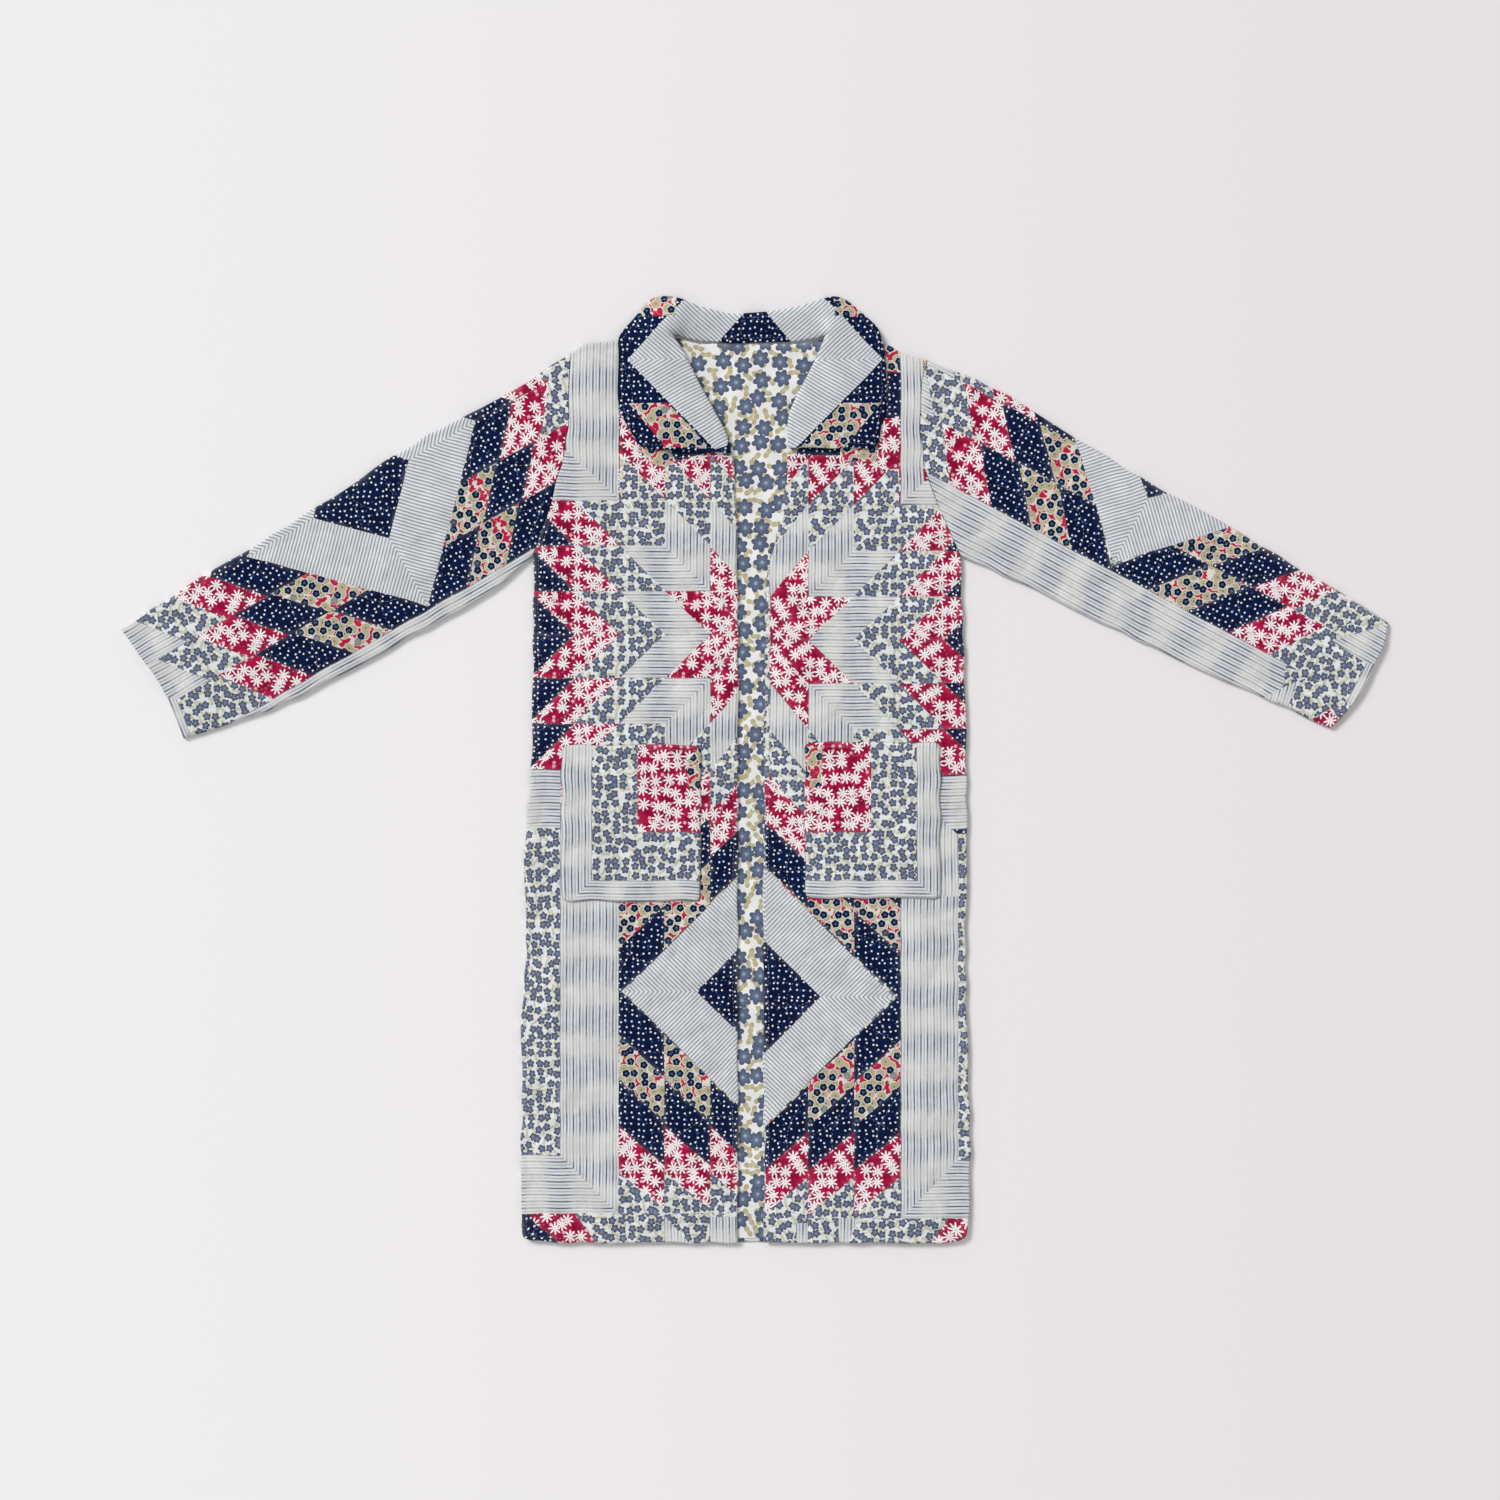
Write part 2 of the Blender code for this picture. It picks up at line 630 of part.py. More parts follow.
def make_sleeve(side):
    """A sleeve pressed flat, open at the armhole and at the cuff."""
    place = sleeve_plan(side)
    seam_lines = [armhole(side), [cuff_edge(side, k / 6) for k in range(7)]]
    seam_lines += [sleeve_fold(side, "upper"), sleeve_fold(side, "lower")]
    outer, inner = [], []
    for station in range(SLEEVE_STATIONS + 1):
        along = station / SLEEVE_STATIONS
        ring = sleeve_ring(place, along, 0.0)
        for k in range(2, 3 + SLEEVE_COLUMNS):
            x, y, z = ring[k]
            ring[k] = (x, y, z + relief(np.array((x, y)), seam_lines))
        outer.append(ring)
        if station % SLEEVE_INNER_EVERY == 0:
            inner.append(sleeve_ring(place, along, CLOTH))
    count = len(outer[0])
    vertices = [vertex for ring in outer + inner for vertex in ring]
    faces = []
    for rings, first in ((outer, 0), (inner, len(outer) * count)):
        for j in range(len(rings) - 1):
            for k in range(count):
                a, b = first + j * count + k, first + j * count + (k + 1) % count
                faces.append((a, b, b + count, a + count))
    inner_first = len(outer) * count
    for outer_start, inner_start in ((0, inner_first), (inner_first - count, len(vertices) - count)):
        for k in range(count):
            after = (k + 1) % count
            faces.append((outer_start + k, outer_start + after, inner_start + after, inner_start + k))
    add_object(f"sleeve_{side}", vertices, faces, (0.42, 0.44, 0.55))


def collar_profile(lie):
    """The rows of the profile for a way of lying between two of the named ones."""
    k = min(int(lie), 1)
    share = lie - k
    rows = np.array(COLLAR_PROFILES[k]) * (1 - share) + np.array(COLLAR_PROFILES[k + 1]) * share
    return [through(rows, j / (COLLAR_POINTS - 1)) for j in range(COLLAR_POINTS)]


def collar_ring(row):
    """One section across the collar: its face, then its underside."""
    inner, outer, lie = np.array(row[0:2]), np.array(row[2:4]), row[4]
    width = np.linalg.norm(outer - inner)
    out = (outer - inner) / width
    middle = [np.array((share * width + more, height)) for share, more, height in collar_profile(lie)]
    reach = max(point[0] for point in middle) + COLLAR_CLOTH / 2
    middle = [point * np.array((width / reach, 1.0)) for point in middle]
    face, underside = [], []
    for j, point in enumerate(middle):
        run = middle[min(j + 1, len(middle) - 1)] - middle[max(j - 1, 0)]
        run /= np.linalg.norm(run)
        normal = np.array((-run[1], run[0]))
        place = inner + out * point[0]
        swell = 0.5 * quilting(place) * max(0.0, normal[1]) * math.sin(math.pi * j / (len(middle) - 1))
        top = point + normal * (COLLAR_CLOTH / 2 + swell)
        low = point - normal * COLLAR_CLOTH / 2
        face.append((*(inner + out * top[0]), top[1]))
        underside.append((*(inner + out * low[0]), low[1]))
    return face + underside[::-1]


def make_collar():
    """The turned collar: wings on the fronts, a stand behind the neck with the fall folded under it."""
    rows = [row[1:] for row in COLLAR]
    sections = (len(rows) - 1) * COLLAR_SECTIONS_PER_ROW
    rings = []
    for k in range(sections + 1):
        row = through(rows, k / sections)
        row[4] = min(max(row[4], 0.0), 2.0)
        rings.append(collar_ring(row))
    count = len(rings[0])
    vertices = [vertex for ring in rings for vertex in ring]
    faces = []
    for j in range(sections):
        for k in range(count):
            a, b = j * count + k, j * count + (k + 1) % count
            faces.append((a, b, b + count, a + count))
    half = count // 2
    for first in (0, sections * count):
        for k in range(half - 1):
            faces.append((first + k, first + k + 1, first + count - 2 - k, first + count - 1 - k))
    add_object("collar", vertices, faces, (0.55, 0.57, 0.62))


for old in list(bpy.data.objects):
    bpy.data.objects.remove(old)

make_back()
make_back_lining()
for side in ("right", "left"):
    make_front(side)
    make_pocket(side)
    make_sleeve(side)
make_collar()
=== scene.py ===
import math

import bmesh
import bpy
import numpy as np
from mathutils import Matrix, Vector
from mathutils.bvhtree import BVHTree
from mathutils.geometry import delaunay_2d_cdt
from mathutils.kdtree import KDTree


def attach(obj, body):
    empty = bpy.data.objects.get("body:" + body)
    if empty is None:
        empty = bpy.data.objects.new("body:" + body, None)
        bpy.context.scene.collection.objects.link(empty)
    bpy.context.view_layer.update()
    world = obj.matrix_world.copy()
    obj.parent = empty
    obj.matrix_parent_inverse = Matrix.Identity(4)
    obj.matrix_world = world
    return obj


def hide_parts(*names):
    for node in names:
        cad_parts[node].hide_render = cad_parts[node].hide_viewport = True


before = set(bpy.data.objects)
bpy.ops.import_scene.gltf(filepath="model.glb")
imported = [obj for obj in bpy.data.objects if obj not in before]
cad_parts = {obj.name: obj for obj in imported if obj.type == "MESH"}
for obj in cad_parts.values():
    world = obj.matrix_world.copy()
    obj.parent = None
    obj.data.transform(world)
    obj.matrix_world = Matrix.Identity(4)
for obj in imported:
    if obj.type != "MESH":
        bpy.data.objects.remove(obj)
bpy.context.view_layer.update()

# The back of the body
# One quilted panel of cotton, wadding and lining, cut in one from the neck to the hem. It lies face down on the
# surface, so its patchwork faces the floor and its lining shows only in the open front.

MM = 0.001
STEP = 1.2 * MM  # one step of the photograph's frame, as a real length on the coat
MIDDLE_X, MIDDLE_Y = 754.75, 768.5  # the middle of the coat's box, in steps of that frame
QUILT_CLOTH = 3.0 * MM
UNIT = 45.7  # one patch of the patchwork, in steps: 55 mm


def place(x, y):
    """A place read in the photograph's frame, in metres in plan."""
    return np.array(((x - MIDDLE_X) * STEP, (MIDDLE_Y - y) * STEP))


def patch(fabric, *corners, grain=0.0):
    """A patch of this fabric between corners in steps of the frame. grain is the angle of its threads, in degrees."""
    return fabric, np.array([place(x, y) for x, y in corners]), grain


def patch_box(fabric, left, top, right, bottom, grain=0.0):
    return patch(fabric, (left, top), (left, bottom), (right, bottom), (right, top), grain=grain)


class Signal:
    """A value in a node tree, so that what is made of it reads as a formula."""

    def __init__(self, tree, socket):
        self.tree, self.socket = tree, socket

    def made(self, operation, *others):
        node = self.tree.nodes.new("ShaderNodeMath")
        node.operation = operation
        for slot, value in zip(node.inputs, (self, *others)):
            feed(self.tree, slot, value)
        return Signal(self.tree, node.outputs[0])

    def __add__(self, other):
        return self.made("ADD", other)

    def __sub__(self, other):
        return self.made("SUBTRACT", other)

    def __mul__(self, other):
        return self.made("MULTIPLY", other)

    def __truediv__(self, other):
        return self.made("DIVIDE", other)

    def cosine(self):
        """A wave from 0 to 1."""
        return self.made("COSINE") * 0.5 + 0.5

    def eased(self, low, high):
        """0 at low, 1 at high, and a soft step between them."""
        node = self.tree.nodes.new("ShaderNodeMapRange")
        node.interpolation_type = "SMOOTHSTEP"
        feed(self.tree, node.inputs["From Min"], low)
        feed(self.tree, node.inputs["From Max"], high)
        feed(self.tree, node.inputs["Value"], self)
        return Signal(self.tree, node.outputs["Result"])


def feed(tree, slot, value):
    if isinstance(value, Signal):
        tree.links.new(value.socket, slot)
    elif isinstance(value, tuple) and len(slot.default_value) == 4:
        slot.default_value = (*value, 1.0)
    else:
        slot.default_value = value


def wired(tree, kind, outputs, settings=None, **inputs):
    """A new node with these settings and inputs, and its outputs of these names as signals."""
    node = tree.nodes.new(kind)
    for name, value in (settings or {}).items():
        setattr(node, name, value)
    for name, value in inputs.items():
        feed(tree, node.inputs[name.replace("_", " ")], value)
    found = [Signal(tree, node.outputs[name]) for name in outputs]
    return found[0] if len(found) == 1 else found


def parted(tree, vector):
    """The x, y and z of a vector, as signals."""
    return wired(tree, "ShaderNodeSeparateXYZ", ["X", "Y", "Z"], Vector=vector)


def mixed(tree, share, first, second):
    """A colour between two others."""
    node = tree.nodes.new("ShaderNodeMix")
    node.data_type = "RGBA"
    for slot, value in ((node.inputs[0], share), (node.inputs[6], first), (node.inputs[7], second)):
        feed(tree, slot, value)
    return Signal(tree, node.outputs[2])


def noise(tree, printed, scale, detail=2.0):
    settings = {"noise_dimensions": "2D"}
    return wired(tree, "ShaderNodeTexNoise", ["Fac"], settings, Vector=printed, Scale=scale, Detail=detail)


def shared_group(name, inputs, outputs):
    """An empty node group with these sockets, and its inputs as signals."""
    tree = bpy.data.node_groups.new(name, "ShaderNodeTree")
    for socket, default in inputs.items():
        kind = "NodeSocketVector" if default is None else "NodeSocketFloat"
        made = tree.interface.new_socket(socket, in_out="INPUT", socket_type=kind)
        if default is not None:
            made.default_value = default
    for socket in outputs:
        tree.interface.new_socket(socket, in_out="OUTPUT", socket_type="NodeSocketFloat")
    start = tree.nodes.new("NodeGroupInput")
    return tree, {socket: Signal(tree, start.outputs[socket]) for socket in inputs}


def put_out(tree, **signals):
    end = tree.nodes.new("NodeGroupOutput")
    for name, signal in signals.items():
        tree.links.new(signal.socket, end.inputs[name])


def use(tree, group, outputs, **inputs):
    """A shared group placed in a material, and its outputs of these names as signals."""
    return wired(tree, "ShaderNodeGroup", outputs, {"node_tree": group}, **inputs)


def make_weave():
    """Plain-woven cotton: the rise of its threads, and how much each place is washed out."""
    tree, given = shared_group("plain weave", {"Print": None, "Thread": 0.45 * MM}, ["Rise", "Fade"])
    x, y, _ = parted(tree, given["Print"])
    turn = given["Thread"] / math.pi
    threads = (x / turn).made("SINE") * (y / turn).made("SINE")
    slub = noise(tree, given["Print"], 900.0)
    fade = noise(tree, given["Print"], 35.0, 3.0)
    put_out(tree, Rise=threads * 0.5 + slub, Fade=fade.eased(0.3, 0.75))
    return tree


def make_flowers():
    """Scattered flowers: masks of the petals and the core of the nearest one, how far out a place is, and the
    flower's number."""
    tree, given = shared_group(
        "scattered flowers",
        {
            "Print": None,
            "Spacing": 10 * MM,
            "Scatter": 0.6,
            "Petals": 5.0,
            "Size": 4 * MM,
            "Notch": 0.2,
            "Narrow": 1.0,
            "Core": 0.3,
            "Blur": 0.5 * MM,
        },
        ["Petal", "Core", "Reach", "Number"],
    )
    colour, nearest_middle = wired(
        tree,
        "ShaderNodeTexVoronoi",
        ["Color", "Position"],
        {"voronoi_dimensions": "2D"},
        Vector=given["Print"],
        Scale=given["Spacing"].made("POWER", -1.0),
        Randomness=given["Scatter"],
    )
    number, turn, _ = wired(tree, "ShaderNodeSeparateColor", ["Red", "Green", "Blue"], Color=colour)
    away = wired(tree, "ShaderNodeVectorMath", ["Vector"], {"operation": "SUBTRACT"})
    feed(tree, away.socket.node.inputs[0], given["Print"])
    feed(tree, away.socket.node.inputs[1], nearest_middle)
    x, y, _ = parted(tree, away)
    reach = (x * x + y * y).made("SQRT")
    angle = y.made("ARCTAN2", x) + turn * (2 * math.pi)
    lobes = (angle * given["Petals"]).cosine().made("POWER", given["Narrow"])
    edge = given["Size"] * (given["Notch"] * (lobes - 1.0) + 1.0)
    put_out(
        tree,
        Petal=(edge - reach).eased(0.0, given["Blur"]),
        Core=(given["Size"] * given["Core"] - reach).eased(0.0, given["Blur"]),
        Reach=reach / edge,
        Number=number,
    )
    return tree


weave = make_weave()
flowers = make_flowers()


def dyed(red, green, blue):
    """A colour read in the usual 0 to 255 steps, as the shader's light values."""
    return tuple(((value / 255 + 0.055) / 1.055) ** 2.4 for value in (red, green, blue))


def new_paint(name):
    """A new material, its node tree and its shader."""
    made = bpy.data.materials.new(name)
    made.use_nodes = True
    return made, made.node_tree, made.node_tree.nodes["Principled BSDF"]


def cotton(name, paint):
    """A matt printed cotton. paint gets the tree and the print's coordinates, and gives the colour."""
    made, tree, shader = new_paint(name)
    printed = wired(tree, "ShaderNodeUVMap", ["UV"], {"uv_map": "print"})
    rise, fade = use(tree, weave, ["Rise", "Fade"], Print=printed)
    wear = wired(tree, "ShaderNodeAttribute", ["Fac"], {"attribute_name": "wear"})
    washed = wired(
        tree, "ShaderNodeHueSaturation", ["Color"], Value=fade * 0.14 + 0.92, Color=paint(tree, printed),
    )
    feed(tree, shader.inputs["Base Color"], mixed(tree, wear * fade * 0.2, washed, dyed(206, 206, 204)))
    feed(tree, shader.inputs["Roughness"], fade * 0.08 + 0.85)
    normal = wired(tree, "ShaderNodeBump", ["Normal"], Strength=0.3, Distance=0.15 * MM, Height=rise)
    feed(tree, shader.inputs["Normal"], normal)
    shader.inputs["Sheen Weight"].default_value = 0.015
    shader.inputs["Sheen Roughness"].default_value = 0.6
    shader.inputs["Specular IOR Level"].default_value = 0.09
    return made


def scattered(tree, printed, masks, spacing, size, **others):
    """These masks of flowers scattered over a print. Their spacing and size are in mm."""
    return use(tree, flowers, masks, Print=printed, Spacing=spacing * MM, Size=size * MM, **others)


def paint_meadow(tree, printed):
    """Small slate-blue flowers, close together on white, with faint olive leaves between them."""
    leaf = scattered(
        tree, printed, ["Petal"], 8.6, 5.6, Scatter=0.9, Petals=2.0, Notch=0.72, Narrow=1.8, Blur=0.7 * MM,
    )
    petal, core, reach = scattered(
        tree, printed, ["Petal", "Core", "Reach"], 11.0, 5.4, Notch=0.3, Narrow=0.6, Core=0.32,
    )
    ground = mixed(tree, leaf * 0.9, dyed(222, 225, 226), dyed(192, 190, 164))
    bloom = mixed(tree, reach.eased(0.25, 0.9), dyed(108, 116, 142), dyed(62, 73, 96))
    bloom = mixed(tree, core * 0.6, bloom, dyed(130, 134, 156))
    return mixed(tree, petal, ground, bloom)


STRIPE_PERIOD = 3.96 * MM
IKAT_CLOUD = 60 * MM  # from one dark bank of the ikat to the next


def paint_ikat(tree, printed):
    """Fine blue-grey stripes along the cloth, every other one stronger, that fade in and out as they run."""
    along, across, _ = parted(tree, printed)
    turn = across * (2 * math.pi / STRIPE_PERIOD)
    line = turn.cosine().made("POWER", 1.5)
    every_other = (turn * 0.5 + 0.4).made("COSINE") * 0.28 + 0.72
    blotch = noise(tree, printed, 160.0)
    drift = noise(tree, printed, 26.0) * 3.0
    cloud = (along * (2 * math.pi / IKAT_CLOUD) + drift - 1.5).cosine()
    strength = cloud.eased(0.0, 1.0) * 0.6 + 0.46
    ink = line * every_other * strength * (blotch * 0.6 + 0.75)
    ground = mixed(tree, cloud * 0.6, dyed(220, 220, 217), dyed(212, 216, 222))
    return mixed(tree, ink, ground, dyed(78, 88, 112))


def paint_dots(tree, printed):
    """Navy with scattered white dots and a few dim blue ones."""
    bright = scattered(tree, printed, ["Petal"], 7.3, 1.34, Scatter=0.55, Notch=0.0, Blur=0.4 * MM)
    dim = scattered(tree, printed, ["Petal"], 11.0, 1.5, Scatter=0.9, Notch=0.0, Blur=0.7 * MM)
    ground = mixed(tree, noise(tree, printed, 60.0).eased(0.3, 0.7), dyed(0, 15, 50), dyed(0, 24, 64))
    ground = mixed(tree, dim * 0.7, ground, dyed(66, 86, 136))
    return mixed(tree, bright, ground, dyed(230, 233, 236))


def paint_daisies(tree, printed):
    """White daisies with many narrow petals on crimson, with small pale pink blossoms between them."""
    blossom = scattered(tree, printed, ["Petal"], 12.0, 2.7, Scatter=0.9, Notch=0.3, Blur=0.7 * MM)
    petal, core, number = scattered(
        tree, printed, ["Petal", "Core", "Number"], 14.4, 8.3, Scatter=0.78, Petals=8.0, Notch=0.7, Core=0.2,
        Blur=0.4 * MM,
    )
    ground = mixed(tree, noise(tree, printed, 70.0).eased(0.35, 0.65), dyed(140, 6, 54), dyed(172, 16, 68))
    ground = mixed(tree, blossom * 0.85, ground, dyed(238, 190, 198))
    daisy = mixed(tree, core * 0.9, dyed(243, 238, 240), dyed(208, 220, 208))
    return mixed(tree, petal * number.eased(0.08, 0.10), ground, daisy)


def paint_posies(tree, printed):
    """Round sage flowers, small navy ones and coral petals, each with a white edge, on off-white."""
    coral = scattered(tree, printed, ["Petal"], 9.6, 6.4, Scatter=0.9, Petals=4.0, Notch=0.4, Blur=0.6 * MM)
    navy, navy_core, navy_reach, navy_number = scattered(
        tree, printed, ["Petal", "Core", "Reach", "Number"], 13.5, 5.0, Scatter=0.7, Notch=0.16, Narrow=0.5,
        Core=0.36,
    )
    sage, sage_core, sage_reach, number = scattered(
        tree, printed, ["Petal", "Core", "Reach", "Number"], 12.4, 5.9, Scatter=0.55, Petals=8.0, Notch=0.1,
        Narrow=0.5, Core=0.22,
    )
    white = dyed(214, 213, 202)
    chosen = number.eased(0.12, 0.16)
    navy_chosen = navy_number.eased(0.18, 0.22)
    ground = mixed(tree, coral, white, dyed(182, 28, 64))
    ground = mixed(tree, sage_reach.eased(1.18, 1.06) * chosen, ground, white)
    round_one = mixed(tree, sage_core, dyed(176, 168, 138), dyed(104, 88, 66))
    ground = mixed(tree, sage * chosen, ground, round_one)
    ground = mixed(tree, navy_reach.eased(1.2, 1.08) * navy_chosen, ground, white)
    bloom = mixed(tree, navy_core, dyed(4, 20, 54), dyed(58, 92, 128))
    return mixed(tree, navy * navy_chosen, ground, bloom)


def paint_pinstripe(tree, printed):
    """Fine grey stripes on off-white."""
    _, across, _ = parted(tree, printed)
    line = (across * (2 * math.pi / STRIPE_PERIOD)).cosine().made("POWER", 1.7)
    ink = line * (noise(tree, printed, 120.0) * 0.4 + 0.7)
    return mixed(tree, ink, dyed(223, 226, 229), dyed(124, 130, 138))


def paint_lining(tree, printed):
    """Large slate-blue flowers with pale hearts and sprigs of khaki leaves on off-white."""
    leaf, leaf_reach = scattered(
        tree, printed, ["Petal", "Reach"], 13.5, 7.6, Scatter=0.85, Petals=2.0, Notch=0.68, Narrow=1.2,
    )
    petal, core, reach = scattered(
        tree, printed, ["Petal", "Core", "Reach"], 24.5, 11.2, Scatter=0.55, Petals=6.0, Notch=0.34,
        Narrow=0.55, Core=0.2,
    )
    ground = mixed(tree, leaf * 0.9, dyed(233, 233, 231), dyed(176, 167, 124))
    ground = mixed(tree, leaf * leaf_reach.eased(0.5, 0.1) * 0.6, ground, dyed(212, 206, 170))
    bloom = mixed(tree, reach.eased(0.2, 1.0), dyed(104, 115, 140), dyed(78, 89, 114))
    bloom = mixed(tree, core, bloom, dyed(150, 168, 176))
    return mixed(tree, petal, ground, bloom)


COTTONS = {
    "meadow": cotton("slate flowers on white", paint_meadow),
    "ikat": cotton("blue-grey ikat stripe", paint_ikat),
    "dots": cotton("white dots on navy", paint_dots),
    "daisies": cotton("white daisies on crimson", paint_daisies),
    "posies": cotton("sage, navy and coral posies", paint_posies),
    "pinstripe": cotton("fine grey stripe", paint_pinstripe),
    "lining": cotton("lining flowers on off-white", paint_lining),
}


WELD = 0.001 * MM  # points of a solid closer than this are one


def seen_faces(node, side):
    """The faces of a CAD node that are seen from above, side 1, or from below, side -1."""
    shape = bmesh.new()
    shape.from_mesh(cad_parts[node].data)
    bmesh.ops.remove_doubles(shape, verts=shape.verts, dist=WELD)
    shape.normal_update()
    tree = BVHTree.FromBMesh(shape)
    away = Vector((0.0, 0.0, side))
    hidden = []
    for face in shape.faces:
        start = face.calc_center_median() + away * 0.02 * MM
        if face.normal.z * side < 0.05 or tree.ray_cast(start, away)[0] is not None:
            hidden.append(face)
    bmesh.ops.delete(shape, geom=hidden, context="FACES")
    shape.faces.index_update()
    shape.faces.ensure_lookup_table()
    return shape


def outline_of(shape):
    """The longest edge line of the faces, with its heights, anticlockwise in plan."""
    after = {}
    for edge in shape.edges:
        if len(edge.link_loops) == 1:
            loop = edge.link_loops[0]
            after[loop.vert] = loop.link_loop_next.vert
    lines = []
    while after:
        start = next(iter(after))
        line, vert = [start], after.pop(start)
        while vert is not start:
            line.append(vert)
            vert = after.pop(vert)
        lines.append(line)
    line = np.array([tuple(vert.co) for vert in max(lines, key=len)])
    x, y = line[:, 0], line[:, 1]
    return line if (x * np.roll(y, -1) - y * np.roll(x, -1)).sum() > 0 else line[::-1]


def height_over(shape):
    """A function that gives the height of the faces at places in plan."""
    planes = [(face.normal.copy(), face.verts[0].co.copy()) for face in shape.faces]
    for vert in shape.verts:
        vert.co.z = 0.0
    flat = BVHTree.FromBMesh(shape)
    shape.free()

    def height(points):
        found = np.empty(len(points))
        for k, (x, y) in enumerate(points):
            spot, _, index, _ = flat.find_nearest((x, y, 0.0))
            normal, point = planes[index]
            found[k] = point.z - (normal.x * (spot.x - point.x) + normal.y * (spot.y - point.y)) / normal.z
        return found

    return height


def within(points, line):
    """Which of the points lie inside a closed line."""
    points, line = np.asarray(points), np.asarray(line)[:, :2]
    inside = np.zeros(len(points), bool)
    for (ax, ay), (bx, by) in zip(line, np.roll(line, -1, axis=0)):
        if ay != by:
            spans = (ay > points[:, 1]) != (by > points[:, 1])
            inside ^= spans & (points[:, 0] < ax + (bx - ax) * (points[:, 1] - ay) / (by - ay))
    return inside


def divided(line, step, closed=False):
    """A line of points with more points between them, at most a step apart."""
    line = np.asarray(line, float)
    starts, ends = (line, np.roll(line, -1, axis=0)) if closed else (line[:-1], line[1:])
    points = []
    for start, end in zip(starts, ends):
        count = max(1, math.ceil(np.linalg.norm((end - start)[:2]) / step))
        points += [start + (end - start) * k / count for k in range(count)]
    if not closed:
        points.append(line[-1])
    return np.array(points)


def nearest(points, others):
    """How far each point is from the nearest of the others in plan, and which one that is."""
    tree = KDTree(len(others))
    for k, other in enumerate(others):
        tree.insert((other[0], other[1], 0.0), k)
    tree.balance()
    found = [tree.find((point[0], point[1], 0.0)) for point in points]
    return np.array([row[2] for row in found]), np.array([row[1] for row in found], int)


def inward(line):
    """The direction from each point of a closed line, anticlockwise in plan, to its inside."""
    run = (np.roll(line, -1, axis=0) - np.roll(line, 1, axis=0))[:, :2]
    run /= np.maximum(np.linalg.norm(run, axis=1), 1e-9)[:, None]
    return np.column_stack((-run[:, 1], run[:, 0]))


def cut(outline, patches, step, rings, crossing):
    """Triangles of cloth inside an outline, cut along the patches' edges: points, corners, patch of each triangle
    and the outline's place among the points. Where crossing is False, no patch's edge meets the outline."""
    outline = np.asarray(outline)[:, :2]
    points = list(outline)
    edges = [(k, (k + 1) % len(points)) for k in range(len(points))]
    for _, polygon, _ in patches:
        line = divided(polygon, step, closed=True)
        inside = within(line, outline)
        first = len(points)
        points += list(line)
        for k in range(len(line)):
            after = (k + 1) % len(line)
            if (inside[k] or inside[after]) if crossing else (inside[k] and inside[after]):
                edges.append((first + k, first + after))
    fixed = np.array(points)
    to_inside = inward(outline)
    for inset in rings:
        ring = outline + to_inside * inset
        points += list(ring[within(ring, outline)])
    low, high = outline.min(axis=0), outline.max(axis=0)
    grid = []
    for k, y in enumerate(np.arange(low[1], high[1], step * math.sqrt(3) / 2)):
        grid += [(x, y) for x in np.arange(low[0] + (step / 2 if k % 2 else 0.0), high[0], step)]
    grid = np.array(grid)
    grid = grid[within(grid, outline)]
    if len(grid):
        points += list(grid[nearest(grid, fixed)[0] > 0.6 * step])
    made = delaunay_2d_cdt([Vector(point) for point in points], edges, [], 1, 1e-7)
    found = np.array([tuple(vert) for vert in made[0]])
    source = {given: k for k, givens in enumerate(made[3]) for given in givens}
    corners = np.array([tuple(face) for face in made[2]])
    corners = corners[within(found[corners].mean(axis=1), outline)]
    middles = found[corners].mean(axis=1)
    owner = np.zeros(len(corners), int)
    for k, (_, polygon, _) in enumerate(patches):
        owner[within(middles, polygon)] = k
    used = np.unique(corners)
    fresh = np.full(len(found), -1)
    fresh[used] = np.arange(len(used))
    return found[used], fresh[corners], owner, fresh[[source[k] for k in range(len(outline))]]


def rim_of(corners):
    """The closed line of points round the triangles."""
    sides = {(a, b) for row in corners.tolist() for a, b in zip(row, row[1:] + row[:1])}
    after = {a: b for a, b in sides if (b, a) not in sides}
    rim = [min(after)]
    while after[rim[-1]] != rim[0]:
        rim.append(after[rim[-1]])
    return rim


def evened(heights, corners, rounds):
    """The heights with the facets of the solid smoothed away."""
    pairs = np.sort(np.concatenate((corners[:, :2], corners[:, 1:], corners[:, ::2])), axis=1)
    first, second = np.unique(pairs, axis=0).T
    size = len(heights)
    count = np.maximum(np.bincount(first, minlength=size) + np.bincount(second, minlength=size), 1)
    for _ in range(rounds):
        total = np.bincount(first, heights[second], size) + np.bincount(second, heights[first], size)
        heights = (heights + total / count) / 2
    return heights


SEAM_DEPTH = 0.35 * MM
SEAM_REACH = 2.6 * MM


def from_seam(points, corners, owner):
    """How far each point is from the nearest seam between two patches."""
    sides, found = {}, []
    for k, row in enumerate(corners.tolist()):
        for a, b in zip(row, row[1:] + row[:1]):
            side = (min(a, b), max(a, b))
            if side in sides and owner[sides[side]] != owner[k]:
                found += [points[a] + (points[b] - points[a]) * t for t in (0.0, 0.33, 0.67)]
            sides[side] = k
    return nearest(points, found)[0] if found else np.full(len(points), 1.0)


QUILT_ROW = 54 * MM  # from one row of quilting to the next, along and across
QUILT_BOW = 16 * MM  # how far a row swings to each side
QUILT_DEPTH = 0.75 * MM
PUCKER = 0.22 * MM
RUMPLE = 0.2 * MM


